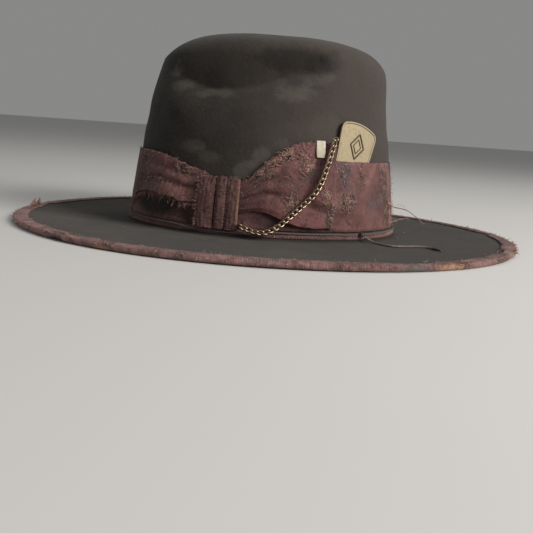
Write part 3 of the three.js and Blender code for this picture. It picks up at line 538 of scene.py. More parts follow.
def cord_material(name, base, pitch=0.0032, turns=1.0, r=CORD_R):
    m = Mat(name)
    uv = m.sep(m.uv)
    ph = m.math("ADD", m.math("MULTIPLY", uv[0], 2 * math.pi / pitch), m.math("MULTIPLY", uv[1], 1000.0 / r))
    tw = m.math("SINE", m.math("MULTIPLY", ph, 2.0))
    fib = m.noise(1700, 4, 0.6, 0.3)
    # painted shade: the grooves of the twist painted darker, down to 0.35 of the base colour
    c = m.mix(m.rng(tw, -0.9, 0.4), tuple(0.35 * x for x in base), base)
    c = m.mix(m.math("MULTIPLY", m.rng(fib, 0.45, 0.7), 0.5), c, tuple(min(1, 1.5 * x) for x in base))
    n = m.bump(m.math("MULTIPLY_ADD", fib, 0.5, tw), 0.00025, 0.9)
    return m.set(Base_Color=c, Roughness=0.78, Normal=n, Sheen_Weight=0.1)

def thread_material(name, a, b):
    m = Mat(name)
    f = m.noise(160, 3, 0.6)
    g = m.noise(1800, 2, 0.5)
    c = m.mix(m.rng(f, 0.35, 0.65), a, b)
    return m.set(Base_Color=c, Roughness=m.rng(g, 0.3, 0.7, 0.7, 0.95), Normal=m.bump(g, 0.0001, 0.4), Sheen_Weight=0.1)

def leather_material(name, base):
    m = Mat(name)
    v = m.voronoi(900, out="Distance")
    big = m.noise(30, 5, 0.6, 0.3)
    c = m.mix(m.rng(big, 0.35, 0.7), tuple(0.6 * x for x in base), tuple(1.5 * x for x in base))
    c = m.mix(m.math("MULTIPLY", m.rng(v, 0.0, 0.35, 1.0, 0.0), 0.35), c, tuple(0.35 * x for x in base))
    n = m.bump(m.math("MULTIPLY_ADD", m.noise(2200, 3), 0.4, v), 0.00018, 0.5)
    return m.set(Base_Color=c, Roughness=m.rng(big, 0.3, 0.7, 0.42, 0.66), Normal=n)

def satin_material(name, base):
    m = Mat(name)
    v = m.noise(2600, 2, 0.5, vec=m.scalev(m.obj, (1.0, 1.0, 0.12)))
    w = m.noise(25, 4, 0.55, 0.6)
    c = m.mix(m.rng(w, 0.35, 0.65), tuple(0.7 * x for x in base), tuple(1.5 * x for x in base))
    c = m.mix(m.math("MULTIPLY", v, 0.25), c, tuple(2.0 * x for x in base))
    n = m.bump(v, 0.00008, 0.4)
    n = m.bump(w, 0.003, 0.6, n)
    return m.set(Base_Color=c, Roughness=0.36, Normal=n, Sheen_Weight=0.25, Sheen_Roughness=0.3)

def bone_material():
    m = Mat("bone")
    g = m.noise(900, 4, 0.6, 0.3, vec=m.scalev(m.obj, (1.0, 1.0, 0.08)))
    b = m.noise(120, 4, 0.6)
    c = m.mix(m.rng(b, 0.35, 0.7), (0.47, 0.42, 0.32), (0.62, 0.575, 0.48))
    c = m.mix(m.math("MULTIPLY", m.rng(g, 0.56, 0.68), 0.35), c, (0.40, 0.33, 0.22))
    return m.set(Base_Color=c, Roughness=m.rng(b, 0.3, 0.7, 0.34, 0.5), Normal=m.bump(g, 0.00008, 0.5), Subsurface_Weight=0.08, Subsurface_Scale=0.002)

FELT = felt_material()
RB_PLACES = [((0.014, -0.088, 0.063), (0.014, 0.014, 0.006), 1.0), ((0.027, -0.086, 0.055), (0.009, 0.012, 0.009), 1.0), ((-0.004, -0.090, 0.050), (0.012, 0.012, 0.008), 0.9), ((0.003, -0.090, 0.058), (0.010, 0.012, 0.006), 0.9),
             ((0.018, -0.090, 0.029), (0.007, 0.012, 0.010), 0.85), ((0.041, -0.084, 0.034), (0.005, 0.012, 0.008), 1.0), ((0.046, -0.082, 0.022), (0.004, 0.010, 0.012), 1.0), ((0.010, -0.090, 0.042), (0.016, 0.012, 0.006), 0.45),
             ((0.0585, -0.072, 0.030), (0.007, 0.014, 0.009), 0.95), ((0.066, -0.066, 0.048), (0.005, 0.014, 0.012), 0.5), ((0.090, -0.040, 0.045), (0.012, 0.014, 0.020), 0.8), ((0.094, -0.036, 0.020), (0.009, 0.014, 0.012), 1.0),
             ((-0.080, -0.061, 0.036), (0.011, 0.014, 0.008), 1.0), ((-0.060, -0.075, 0.047), (0.013, 0.014, 0.007), 1.0), ((-0.092, -0.043, 0.055), (0.010, 0.014, 0.007), 0.9), ((-0.070, -0.069, 0.028), (0.026, 0.016, 0.004), 0.8), ((-0.095, -0.040, 0.036), (0.006, 0.02, 0.014), 0.6)]
# painted shade: near-black patches on the band below the left wing's lower edge and under the right wing's fold, where
# shade falls; the last entry is a grey patch
BAND_PAINTED_SHADE_AND_GREY_PATCH = [((-0.080, -0.056, 0.020), (0.036, 0.034, 0.0105), 0.93, (0.006, 0.0035, 0.003)), ((-0.050, -0.076, 0.018), (0.018, 0.022, 0.010), 0.75, (0.008, 0.004, 0.004)), ((0.006, -0.088, 0.017), (0.026, 0.016, 0.007), 0.70, (0.012, 0.006, 0.006)),
          ((0.0545, -0.076, 0.052), (0.007, 0.012, 0.012), 0.55, (0.060, 0.055, 0.066))]
WASH = [((-0.092, -0.050, 0.040), (0.026, 0.032, 0.026), 0.45, (0.070, 0.042, 0.026)), ((-0.004, -0.092, 0.052), (0.012, 0.014, 0.010), 0.40, (0.110, 0.080, 0.045)), ((0.028, -0.088, 0.052), (0.010, 0.012, 0.010), 0.50, (0.062, 0.055, 0.062)),
        ((0.010, -0.092, 0.046), (0.020, 0.012, 0.004), 0.45, (0.030, 0.016, 0.016)), ((0.012, -0.090, 0.061), (0.004, 0.012, 0.004), 0.80, (0.010, 0.006, 0.006)), ((-0.060, -0.077, 0.048), (0.009, 0.014, 0.004), 0.75, (0.016, 0.010, 0.010)),
        ((0.0445, -0.083, 0.018), (0.003, 0.010, 0.010), 0.60, (0.045, 0.040, 0.045))]
RIBBON = ribbon_material("ribbon_band", places=RB_PLACES, tints=WASH)
RIBBON_BACK = ribbon_material("ribbon_back", base=(0.125, 0.056, 0.051), wear=0.2, places=RB_PLACES, tints=BAND_PAINTED_SHADE_AND_GREY_PATCH)
RIBBON_KEEP = ribbon_material("ribbon_keeper", base=(0.125, 0.055, 0.051), along_u=False, wear=1.0, worn=(0.34, 0.20, 0.13), pale=(0.27, 0.16, 0.14))
RIBBON_EDGE = ribbon_material("ribbon_binding", base=(0.180, 0.095, 0.089), rib=0.0009, wear=0.9, worn=(0.30, 0.20, 0.14), pale=(0.34, 0.215, 0.195), blue=0.15,
    tints=[((0.091, -0.156, 0.002), (0.021, 0.012, 0.0035), 0.85, (0.085, 0.080, 0.072)), ((0.119, -0.142, 0.002), (0.020, 0.014, 0.003), 0.80, (0.36, 0.21, 0.11)), ((-0.131, -0.130, 0.0015), (0.010, 0.012, 0.002), 0.9, (0.015, 0.011, 0.010)),
           ((-0.098, -0.156, 0.0015), (0.007, 0.010, 0.002), 0.85, (0.34, 0.19, 0.08)), ((0.0, -0.178, 0.004), (0.02, 0.01, 0.002), 0.5, (0.30, 0.20, 0.18)), ((0.176, -0.075, 0.003), (0.012, 0.02, 0.004), 0.5, (0.32, 0.22, 0.17))])
RIBBON_UNDER = ribbon_material("ribbon_underband", base=(0.10, 0.05, 0.05), rib=0.0011, wear=0.3)
CHAIN = metal_material("chain_brass", (0.36, 0.275, 0.195), (0.016, 0.011, 0.008), (0.26, 0.50), 300, 0.9)
TAG = metal_material("tag_brass", (0.30, 0.25, 0.165), (0.10, 0.072, 0.042), (0.48, 0.70), 120, 0.40, True, 0.75)
TAG_DARK = metal_material("tag_brass_recess", (0.10, 0.075, 0.04), (0.02, 0.014, 0.01), (0.5, 0.7), 200, 0.5, False, 0.7)
CRIMP = metal_material("crimp_metal", (0.20, 0.185, 0.17), (0.03, 0.028, 0.026), (0.3, 0.5), 400, 0.5)
# the same waxed cord in three tones: the tail on the brim painted paler (painted light), the loop round the crown's
# base darker and the knot darkest (painted shade)
CORD_TAIL_PAINTED_LIGHT = cord_material("waxed_cord", (0.34, 0.27, 0.23))
CORD_LOOP_PAINTED_SHADE = cord_material("waxed_cord_loop", (0.115, 0.088, 0.082))
CORD_KNOT_PAINTED_SHADE = cord_material("dark_cord", (0.045, 0.038, 0.034), 0.0028)
TH_RUST = thread_material("thread_rust", (0.27, 0.125, 0.08), (0.38, 0.21, 0.125))
TH_PINK = thread_material("thread_pink", (0.34, 0.20, 0.175), (0.20, 0.10, 0.09))
TH_PALE = thread_material("thread_pale", (0.46, 0.32, 0.265), (0.31, 0.195, 0.165))
TH_DARK = thread_material("thread_dark", (0.03, 0.02, 0.018), (0.07, 0.04, 0.036))
LEATHER = leather_material("sweat_leather", (0.055, 0.032, 0.020))
WELT = leather_material("welt_leather", (0.028, 0.020, 0.016))
SATIN = satin_material("satin_lining", (0.045, 0.028, 0.038))
INNER = ribbon_material("inner_ribbon", base=(0.040, 0.030, 0.030), wear=0.0, blue=0.0, pale=(0.08, 0.06, 0.06))
BONE = bone_material()

# ------------------------------------------------------------------ cord tail, made first
def brim_wave(x, y):
    """how far the brim has lifted from flat, mm: a little, towards its edge only"""
    x, y = np.asarray(x, float), np.asarray(y, float)
    r = np.sqrt((x / BRIM_A) ** 2 + (y / BRIM_B) ** 2)
    a = np.arctan2(y, x)
    k = sstep(0.68, 1.0, r)
    return k * (0.55 * (1 + np.sin(3 * a + 0.7)) * 0.5 + 0.45 * (1 + np.sin(5 * a + 2.1)) * 0.5)

KNOT_TH = -46.4
def cord_z(th):
    th = np.asarray(th, float)
    return 8.7 - 2.3 * sstep(-128, -117, th) * sstep(-84, -95, th) - 0.5 * sstep(-60, -50, th) * sstep(-32, -42, th)
knotC = Pz(KNOT_TH, cord_z(KNOT_TH) - 0.6, 3.15).reshape(3)
knotN = unit(np.array([knotC[0] - CROWN_X, knotC[1] / OVAL ** 2, 0]))
CZ = TOPZ + CORD_R + 0.12
tail_keys = [knotC + (2.6, -1.2, -1.2), (78.2, -69.0, CZ + 0.5), (81.6, -72.6, CZ), (85.9, -77.0, CZ), (89.4, -79.6, CZ), (93.0, -80.8, CZ), (98.0, -79.6, CZ),
             (103.9, -76.2, CZ), (109.5, -73.9, CZ), (114.0, -73.6, CZ), (117.6, -75.6, CZ), (119.6, -79.2, CZ)]
tail_path, tail_len = resample(spline(tail_keys, 400), 34)
cu = bpy.data.curves.new("cord_tail_visual", "CURVE")
cu.dimensions = "3D"
cu.bevel_depth, cu.bevel_resolution, cu.use_fill_caps = CORD_R / 1000, 3, True
sp = cu.splines.new("POLY")
sp.points.add(len(tail_path) - 1)
for q, p in zip(sp.points, tail_path):
    q.co = (*(p * 0.001), 1.0)
tail = bpy.data.objects.new("cord_tail_visual", cu)
scene.collection.objects.link(tail)
cu.materials.append(CORD_TAIL_PAINTED_LIGHT)
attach(tail, "hat"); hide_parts("cord_tail")

def crimp():
    """small tapered metal end, rolled, with two pressed rings"""
    d = unit(np.array([0.42, -0.907, 0.0]))
    a = np.array([119.6, -79.2, TOPZ + 0.95 + 0.12]) + d * 0.3
    prof = [(0.0, 0.0), (0.0, 0.80), (0.15, 0.94), (1.2, 0.95), (1.5, 0.78), (1.8, 0.93), (2.8, 0.92), (3.1, 0.74), (3.4, 0.88), (6.5, 0.76), (8.9, 0.64), (9.35, 0.5), (9.5, 0.2), (9.5, 0.0)]
    up = np.array([0, 0, 1.0]); sd = np.cross(d, up)
    n, v, f = 20, [], []
    for s, r in prof:
        for k in range(n):
            w = 2 * math.pi * k / n
            v.append(a + d * s + (sd * math.cos(w) + up * math.sin(w)) * max(r, 0.01))
    for i in range(len(prof) - 1):
        for k in range(n):
            f.append((i * n + k, i * n + (k + 1) % n, (i + 1) * n + (k + 1) % n, (i + 1) * n + k))
    return new_mesh("cord_tip_visual", v, f)
tip = finish_piece(crimp(), CRIMP, "hat", ["cord_tip"])

# ------------------------------------------------------------------ felt
FE_A, FE_B = BRIM_A - 1.5, BRIM_B - 1.5
def felt():
    N = 240
    th = np.arange(N) / N * 2 * np.pi
    rows = []
    tops = np.concatenate([np.linspace(0.02, 0.62, 26), np.linspace(0.64, 1.0, 22)[:-1]])
    walls = np.concatenate([np.linspace(122, 84, 34), np.linspace(82, 12, 26), [9, 7, 5.6, 4.6]])
    def brim(k, z):
        ax, bx = 107.6, 107.6 * OVAL + 0.5
        xi, yi = CROWN_X + ax * np.cos(th), bx * np.sin(th)
        x, y = xi + (FE_A * np.cos(th) - xi) * k, yi + (FE_B * np.sin(th) - yi) * k
        return A3(x, y, z + brim_wave(x, y))
    for r in tops: rows.append(P(th, 2 - r, 0))
    for z in walls: rows.append(P(th, tz(z), 0))
    rows.append(brim(-0.012, TOPZ + 0.35))
    for k in np.linspace(0.004, 0.985, 22): rows.append(brim(k, TOPZ))
    rows.append(brim(0.996, TOPZ - 0.25)); rows.append(brim(1.0, TOPZ - 0.8)); rows.append(brim(1.0, BRIM_Z0 + 0.8)); rows.append(brim(0.996, BRIM_Z0 + 0.25))
    for k in np.linspace(0.985, 0.0, 16): rows.append(brim(k, BRIM_Z0))
    rows.append(A3(CROWN_X + 102.6 * np.cos(th), (102.6 * OVAL - 0.35) * np.sin(th), BRIM_Z0 + 0.35))
    rows.append(A3(CROWN_X + 101.7 * np.cos(th), (101.7 * OVAL - 0.35) * np.sin(th), BRIM_Z0 + 1.3))
    rows_out = len(tops) + len(walls) + 23
    for z in np.concatenate([[9], np.linspace(14, 80, 12), np.linspace(84, 122, 20)]): rows.append(P(th, tz(z), -FELT_T))
    for r in tops[::-1][::2]: rows.append(P(th, 2 - r, -FELT_T))
    G = np.array(rows)                                    # (rows, N, 3)
    # felt is never quite true: slow hand-blocked unevenness, gone where the band grips it
    flat = G.reshape(-1, 3)
    amp = np.where(flat[:, 2] > 62, sstep(62, 84, flat[:, 2]) * 0.55, 0.0)
    d = nz(flat, 26.0, 3.0) * amp + nz(flat, 9.0, 8.0) * amp * 0.18
    nrm = unit(np.stack([flat[:, 0] - CROWN_X, flat[:, 1] / OVAL ** 2, np.maximum(0, flat[:, 2] - 95) * 1.6], 1))
    G = (flat + nrm * d[:, None]).reshape(G.shape)
    R, n = G.shape[:2]
    v = G.reshape(-1, 3)
    f = [(i * n + j, i * n + (j + 1) % n, (i + 1) * n + (j + 1) % n, (i + 1) * n + j) for i in range(R - 1) for j in range(n)]
    c0, c1 = crown0(0.0, 2.0).reshape(3), crown0(0.0, 2.0).reshape(3) - (0, 0, FELT_T)
    v = np.concatenate([v, [c0, c1]])
    a, b = len(v) - 2, len(v) - 1
    f += [(a, (j + 1) % n, j) for j in range(n)] + [(b, (R - 1) * n + j, (R - 1) * n + (j + 1) % n) for j in range(n)]
    return new_mesh("felt_crown_and_brim", v, f)
felt_o = finish_piece(felt(), FELT, "hat", ["felt_body"])

# ------------------------------------------------------------------ brim binding
def binding():
    N = 720
    th = np.arange(N) / N * 2 * np.pi
    nn = unit(A3(np.cos(th) / FE_A, np.sin(th) / FE_B, 0.0))
    e = A3(FE_A * np.cos(th), FE_B * np.sin(th), 0.0)
    adeg = np.degrees(th); adeg = np.where(adeg > 180, adeg - 360, adeg)
    gap = sum(k * sstep(w + 1.5, w - 1.5, np.abs(adeg - c)) for c, w, k in [(-61, 5.5, 3.2), (-129, 3.0, 4.0), (-120, 1.8, 2.5), (-25, 3.5, 3.0), (9, 3.0, 3.5), (171, 3.0, 3.0), (70, 3, 3), (-88, 2, 1.5)])
    w1 = BIND_W - gap + 0.9 * nz(e, 14.0, 1.0) + (0.6 + 0.25 * gap) * nz(e, 2.6, 4.0)
    w2 = BIND_W + 0.9 * nz(e, 15.0, 2.0) + 0.4 * nz(e, 3.0, 6.0)
    def ring(o, z):
        o = np.broadcast_to(o, th.shape)
        p = e + nn * o[:, None]
        return A3(p[:, 0], p[:, 1], z + brim_wave(p[:, 0], p[:, 1]))
    puck = 0.28 * nz(e, 5.0, 9.0) + 0.18 * nz(e, 1.8, 19.0) + 0.15
    outer = [ring(-w1, 4.08), ring(-w1 * 0.8, 4.2 + puck), ring(-w1 * 0.45, 4.2 + puck), ring(-1.0, 4.22 + puck * 0.6), ring(0.3, 4.1), ring(1.1, 3.45), ring(1.5, 2.6), ring(1.5, 1.6), ring(1.1, 0.75), ring(0.3, 0.1), ring(-1.0, 0.0), ring(-w2 * 0.5, 0.0), ring(-w2, 0.02)]
    inner = [ring(-w1, 3.55), ring(-w1 * 0.8, 3.6), ring(-w1 * 0.45, 3.6), ring(-1.0, 3.6), ring(0.1, 3.5), ring(0.62, 3.1), ring(0.85, 2.5), ring(0.85, 1.7), ring(0.62, 1.15), ring(0.1, 0.72), ring(-1.0, 0.62), ring(-w2 * 0.5, 0.62), ring(-w2, 0.62)]
    O, I = np.array(outer).transpose(1, 0, 2), np.array(inner).transpose(1, 0, 2)
    U = np.arange(N) * (1181.0 / N)
    V_ = np.array([0, 2, 5, 8, 9.3, 10.3, 11.2, 12.2, 13.1, 14, 15.3, 19, 23.0])
    o = sheet_mesh("brim_binding_ribbon", O, I, U, V_, True)
    return o
bind = finish_piece(binding(), RIBBON_EDGE, "hat", ["brim_binding"])

# ------------------------------------------------------------------ band, underband
def arclen(cols, z, off):
    p = Pz(cols, z, off)
    return np.concatenate([[0], np.cumsum(np.linalg.norm(np.diff(p, axis=0), axis=1))])

def band():
    cols = np.linspace(-180, 180, 481)[:-1]
    K = np.linspace(0, 1, 21)
    jag_t = 0.35 * nz(A3(cols * 1.6, 0, 0), 2.0, 5.0)
    jag_b = 0.3 * nz(A3(cols * 1.6, 0, 0), 2.2, 15.0)
    def zf(TH, KK):
        a, b = band_bot(TH) + jag_b[:, None], band_top(TH) + jag_t[:, None]
        return a + (b - a) * KK
    def rip(TH, Z, KK):
        w = 0.22 * nz(A3(TH * 1.6, 0 * TH, Z), 16.0, 21.0) + 0.10 * nz(A3(TH * 1.6, 0 * TH, Z * 0.5), 5.0, 27.0)
        roll = 0.25 * sstep(0.06, 0.0, KK) + 0.2 * sstep(0.95, 1.0, KK)
        return np.maximum(-0.1, w) + roll * 0.6
    O, I, TH, Z = on_crown(cols, K, zf, lambda a, b: BAND_GAP + pocket(a, b), BAND_T, rip)
    return sheet_mesh("hat_band_ribbon", O, I, arclen(cols, 30.0, 1.0), np.linspace(0, 50, 21), True)
band_o = finish_piece(band(), RIBBON_BACK, "hat", ["hat_band"])

def underband():
    cols = np.linspace(-180, 180, 361)[:-1]
    K = np.linspace(0, 1, 6)
    O, I, TH, Z = on_crown(cols, K, lambda TH, KK: 4.7 + 4.6 * KK, lambda a, b: 0.35 + 0 * a, 0.7)
    return sheet_mesh("underband_ribbon", O, I, arclen(cols, 7.0, 1.0), np.linspace(0, 4.6, 6), True)
finish_piece(underband(), RIBBON_UNDER, "hat", ["underband"])
t = Tubes()
zz = np.linspace(-180, 180, 521)
pts = Pz(zz, np.where(np.arange(521) % 2 == 0, 5.6, 8.4), 1.12)
fine_pts = []
for a, b in zip(pts[:-1], pts[1:]):
    fine_pts += [a, a * 0.5 + b * 0.5]
t.add(np.array(fine_pts), 0.2, 5, closed=True)
finish_piece(t.obj("underband_zigzag_stitch"), TH_PINK, "hat")

# ------------------------------------------------------------------ bow wings
def fold_lines(s, k, lines):
    """raised soft pleats running from the knot: (height k at the knot end, k at the far end, half width, height mm, reach 0..1)"""
    out = 0
    for k0, k1, w, h, reach in lines:
        c = k0 + (k1 - k0) * s
        out = out + h * np.exp(-((k - c) / w) ** 2) * sstep(reach, reach * 0.35, s) * sstep(-0.02, 0.05, s)
    return out

def right_wing():
    cols = np.linspace(-101, -61, 121)
    K = np.linspace(0, 1, 61)
    jt = (0.7 * nz(A3(cols * 1.6, 0, 0), 3.0, 35.0) + 0.5 * nz(A3(cols * 1.6, 0, 0), 1.2, 37.0)) * (0.5 + 0.9 * sstep(-70, -82, cols) * sstep(-95, -88, cols))
    jb = 0.5 * nz(A3(cols * 1.6, 0, 0), 3.0, 45.0)
    def zf(TH, KK):
        a, b = stab(RW_BOT, TH, 1.5) + jb[:, None], stab(RW_TOP, TH, 1.5) + jt[:, None]
        return a + (b - a) * KK
    def rip(TH, Z, KK):
        s = np.clip((TH + 101) / 40, 0, 1)
        r = fold_lines(s, KK, [(0.30, 0.10, 0.10, 0.7, 0.75), (0.55, 0.36, 0.085, 0.8, 0.9), (0.80, 0.70, 0.08, 0.8, 0.8), (0.95, 0.93, 0.05, 0.5, 0.6)])
        r = r - fold_lines(s, KK, [(0.43, 0.22, 0.055, 1.7, 0.85), (0.68, 0.54, 0.05, 1.5, 0.9), (0.88, 0.80, 0.04, 1.2, 0.7)])
        r = r * sstep(0, 0.25, s) + 0.28 * nz(A3(TH * 1.6, 0 * TH, Z), 9.0, 51.0) * sstep(0, 0.2, s) * sstep(1.0, 0.85, s)
        curl = -1.6 * sstep(0.10, 0.0, KK) * sstep(0.62, 0.3, s) * sstep(0.0, 0.12, s)
        room = np.clip(rw_in(TH, Z) - band_out(TH, Z) - 0.45, 0.1, 3)
        return np.maximum(np.clip(r, None, 0.9), -room) + np.maximum(curl, -room)
    O, I, TH, Z = on_crown(cols, K, zf, rw_in, 0.55, rip)
    return sheet_mesh("bow_right_wing_ribbon", O, I, arclen(cols, 40.0, 4.0), np.linspace(0, 55, 61), False)
rw_o = finish_piece(right_wing(), RIBBON, "hat", ["bow_right_wing"])

def left_wing():
    cols = np.linspace(-171, -112, 161)
    K = np.linspace(0, 1, 41)
    jt = 0.45 * nz(A3(cols * 1.6, 0, 0), 2.0, 65.0)
    jb = 1.6 * nz(A3(cols * 1.6, 0, 0), 4.0, 75.0) + 1.2 * nz(A3(cols * 1.6, 0, 0), 1.3, 77.0)
    def zf(TH, KK):
        a, b = stab(LW_BOT, TH, 1.5) + jb[:, None], stab(LW_TOP, TH, 1.5) + jt[:, None]
        return a + (b - a) * KK
    def rip(TH, Z, KK):
        s = np.clip((-112 - TH) / 59, 0, 1)      # from the knot
        r = fold_lines(s, KK, [(0.25, 0.10, 0.12, 0.9, 0.7), (0.60, 0.45, 0.12, 1.0, 0.75), (0.9, 0.85, 0.07, 0.6, 0.5)])
        r = r - fold_lines(s, KK, [(0.42, 0.30, 0.06, 1.5, 0.8), (0.75, 0.66, 0.06, 1.3, 0.7)])
        r = r * sstep(0.0, 0.2, s) + 0.5 * nz(A3(TH * 1.6, 0 * TH, Z), 8.0, 81.0) * sstep(0, 0.2, s) * sstep(1.0, 0.8, s)
        room = np.clip(lw_in(TH, Z) - band_out(TH, Z) - 0.45, 0.1, 3)
        return np.maximum(r, -room) + 2.3 * sstep(0.30, 0.0, KK) * sstep(0.05, 0.25, s) * sstep(0.80, 0.50, s)
    O, I, TH, Z = on_crown(cols, K, zf, lw_in, 0.55, rip)
    return sheet_mesh("bow_left_wing_ribbon", O, I, arclen(cols, 40.0, 3.0), np.linspace(0, 30, 41), False)
lw_o = finish_piece(left_wing(), RIBBON, "hat", ["bow_left_wing"])

# ------------------------------------------------------------------ keeper
def keeper(name, a, b, zt, zb, seed, left_frayed=False):
    n, m = 25, 81
    cols = np.linspace(a, b, n)
    K = np.linspace(0, 1, m)
    side = nz(A3(K * 36, 0, 0), 1.3, seed) * (0.45 if not left_frayed else 1.15)
    side2 = nz(A3(K * 36, 0, 0), 1.6, seed + 40) * 0.3
    TH = cols[:, None] + np.zeros((1, m))
    s = (TH - a) / (b - a)
    TH = TH + side[None, :] * (1 - s) ** 2 * 0.8 + side2[None, :] * s ** 2
    KK = np.broadcast_to(K[None], TH.shape)
    Z = zb + (zt - zb) * KK
    prof = np.power(np.sin(np.pi * np.clip(KK, 0.03, 0.97)), 0.4)
    th_ = 0.9 + 2.1 * prof * (0.48 + 0.52 * np.sin(np.pi * s))
    wr = 0.28 * nz(A3(TH * 1.6, 0 * TH, Z), 2.2, seed + 1) + 0.45 * nz(A3(TH * 1.6 * 2.4, 0 * TH, Z * 0.3), 3.0, seed + 2)
    edge = -0.35 * sstep(0.12, 0.0, s) - 0.35 * sstep(0.88, 1.0, s)
    out = 2.95 + th_ + wr + edge
    O, I = Pz(TH, Z, out), Pz(TH, Z, 2.95 + 0 * out)
    return sheet_mesh(name, O, I, np.linspace(0, (b - a) * 1.55, n), np.linspace(0, 36, m), False)
k1 = finish_piece(keeper("bow_keeper_1_ribbon", -115.6, -108.3, 43.6, 8.0, 3.0, True), RIBBON_KEEP, "hat", ["bow_keeper_1"])
k2 = finish_piece(keeper("bow_keeper_2_ribbon", -107.9, -104.1, 44.6, 7.8, 13.0), RIBBON_KEEP, "hat", ["bow_keeper_2"])
k3 = finish_piece(keeper("bow_keeper_3_ribbon", -103.7, -98.8, 43.4, 7.8, 23.0), RIBBON_KEEP, "hat", ["bow_keeper_3"])

# ------------------------------------------------------------------ cord round the base, its knot
t = Tubes()
ths_ = np.linspace(KNOT_TH + 1.75, KNOT_TH + 360 - 1.75, 420)
ths_ = np.where(ths_ > 180, ths_ - 360, ths_)
t.add(Pz(ths_, cord_z(ths_) - 0.15, 2.0), 0.55, 8)
t.add(Pz(ths_, cord_z(ths_) + 0.62 + 0.25 * np.sin(ths_ * 0.11), 1.85), 0.26, 6)
finish_piece(t.obj("base_cord_loop_visual"), CORD_LOOP_PAINTED_SHADE, "hat", ["base_cord_loop"])
t = Tubes()
kt = np.array([-knotN[1], knotN[0], 0])
for q in range(3):
    w = np.linspace(0, 2 * np.pi, 40, endpoint=False)
    ph = q * 2 * np.pi / 3
    x = knotN[None] * (1.0 * np.cos(w) * 1.0)[:, None] + kt[None] * ((-0.9 + q * 0.9) + 0.35 * np.sin(w + ph))[:, None] + np.array([0, 0, 1.0])[None] * (1.15 * np.sin(w))[:, None]
    t.add(knotC[None] + x, 0.66, 8, closed=True)
finish_piece(t.obj("base_cord_knot_visual"), CORD_KNOT_PAINTED_SHADE, "hat", ["base_cord_knot"])

# ------------------------------------------------------------------ chain
chain_keys = [[-98.0, 12.6], [-96.3, 11.0], [-94.0, 9.6], [-91.8, 8.6], [-89.2, 8.3], [-87.1, 9.2], [-84.6, 11.6], [-82.5, 14.6], [-80.1, 18.9],
              [-77.2, 23.9], [-74.7, 28.2], [-71.6, 34.2], [-69.5, 39.8], [-67.7, 46.6], [-66.3, 53.4], [-64.9, 60.3], [-63.7, 67.0], [-62.2, 73.6]]
links = sorted(n for n in frame["nodes"] if n.startswith("chain_link_"))
def node_pca(node):
    co = np.array([v.co for v in frame["nodes"][node].data.vertices]) * 1000
    c = co.mean(0)
    return c
cen = [node_pca(n) for n in links]
rl, ru = node_pca("chain_ring_lower"), node_pca("chain_ring_upper")
path = np.array([rl] + cen + [ru])
tang = unit(np.gradient(path, axis=0))
LINK_A, LINK_W, RING_R = (CHAIN_PITCH + 2 * WIRE_R + 0.2) / 2, 1.4, 1.55
def chain_frame(i):
    p, tt = path[i], tang[i]
    c = unit(np.array([p[0] - CROWN_X, p[1] / OVAL ** 2, 0]))
    z = unit(c - tt * (c @ tt)); y = np.cross(z, tt)
    return p, tt, y, z
for i, name in enumerate(links, 1):
    p, tt, y, z = chain_frame(i)
    w = np.linspace(0, 2 * np.pi, 40, endpoint=False)
    cx, sy = np.cos(w), np.sin(w)
    lx = LINK_A * np.sign(cx) * np.abs(cx) ** 0.82
    ly = LINK_W * np.sign(sy) * np.abs(sy) ** 0.78
    al = (np.pi / 4) * lx / LINK_A
    pts = p + tt[None] * lx[:, None] + y[None] * (ly * np.cos(al))[:, None] + z[None] * (ly * np.sin(al))[:, None]
    nr = z[None] * np.cos(al)[:, None] - y[None] * np.sin(al)[:, None]
    t = Tubes(); t.add(pts, 0.74, 10, closed=True, normals=nr)
    finish_piece(t.obj(name + "_visual"), CHAIN, "chain", [name])
for i, name, sg in ((0, "chain_ring_lower", 1), (len(path) - 1, "chain_ring_upper", -1)):
    p, tt, y, z = chain_frame(i)
    al = sg * np.pi / 4
    Y, Zv = y * np.cos(al) + z * np.sin(al), z * np.cos(al) - y * np.sin(al)
    w = np.linspace(0, 2 * np.pi, 40, endpoint=False)
    pts = p + tt[None] * (RING_R * np.cos(w))[:, None] + Y[None] * (RING_R * np.sin(w))[:, None]
    t = Tubes(); t.add(pts, 0.52, 10, closed=True, normals=np.broadcast_to(Zv, pts.shape))
    finish_piece(t.obj(name + "_visual"), CHAIN, "chain", [name])

# ------------------------------------------------------------------ tag
def tag_outline(inset=0.0, n=14):
    bl = -(TAG_L - 28); W0, W1 = 14.8, 16.3
    def q(a, b, c):
        s = np.linspace(0, 1, n)[:, None]
        a, b, c = map(np.array, (a, b, c))
        return (1 - s) ** 2 * a + 2 * s * (1 - s) * b + s * s * c
    P_ = np.concatenate([[(-W0 + 4, bl)], q((W0 - 4, bl), (W0, bl), (W0, bl + 4)), [(W0, 0)], q((W1, 19.5), (W1, 24.8), (12.2, 25.9)),
                         q((12.2, 25.9), (0, 30.0), (-12.2, 25.9))[1:], q((-12.2, 25.9), (-W1, 24.8), (-W1, 19.5))[1:], [(-W0, 0)], q((-W0, bl + 4), (-W0, bl), (-W0 + 4, bl))]).astype(float)
    keep = [0]
    for i in range(1, len(P_)):
        if np.linalg.norm(P_[i] - P_[keep[-1]]) > 0.05: keep.append(i)
    P_ = P_[keep]
    if np.linalg.norm(P_[0] - P_[-1]) < 0.05: P_ = P_[:-1]
    tt = unit(np.roll(P_, -1, 0) - np.roll(P_, 1, 0))
    nn = np.stack([-tt[:, 1], tt[:, 0]], 1)
    return P_ + nn * inset
def to3(p2, h):
    p2 = np.asarray(p2, float)
    return tagO[None] + tagU[None] * p2[:, :1] + tagV[None] * p2[:, 1:2] + tagN[None] * np.broadcast_to(np.asarray(h, float), (len(p2),))[:, None]
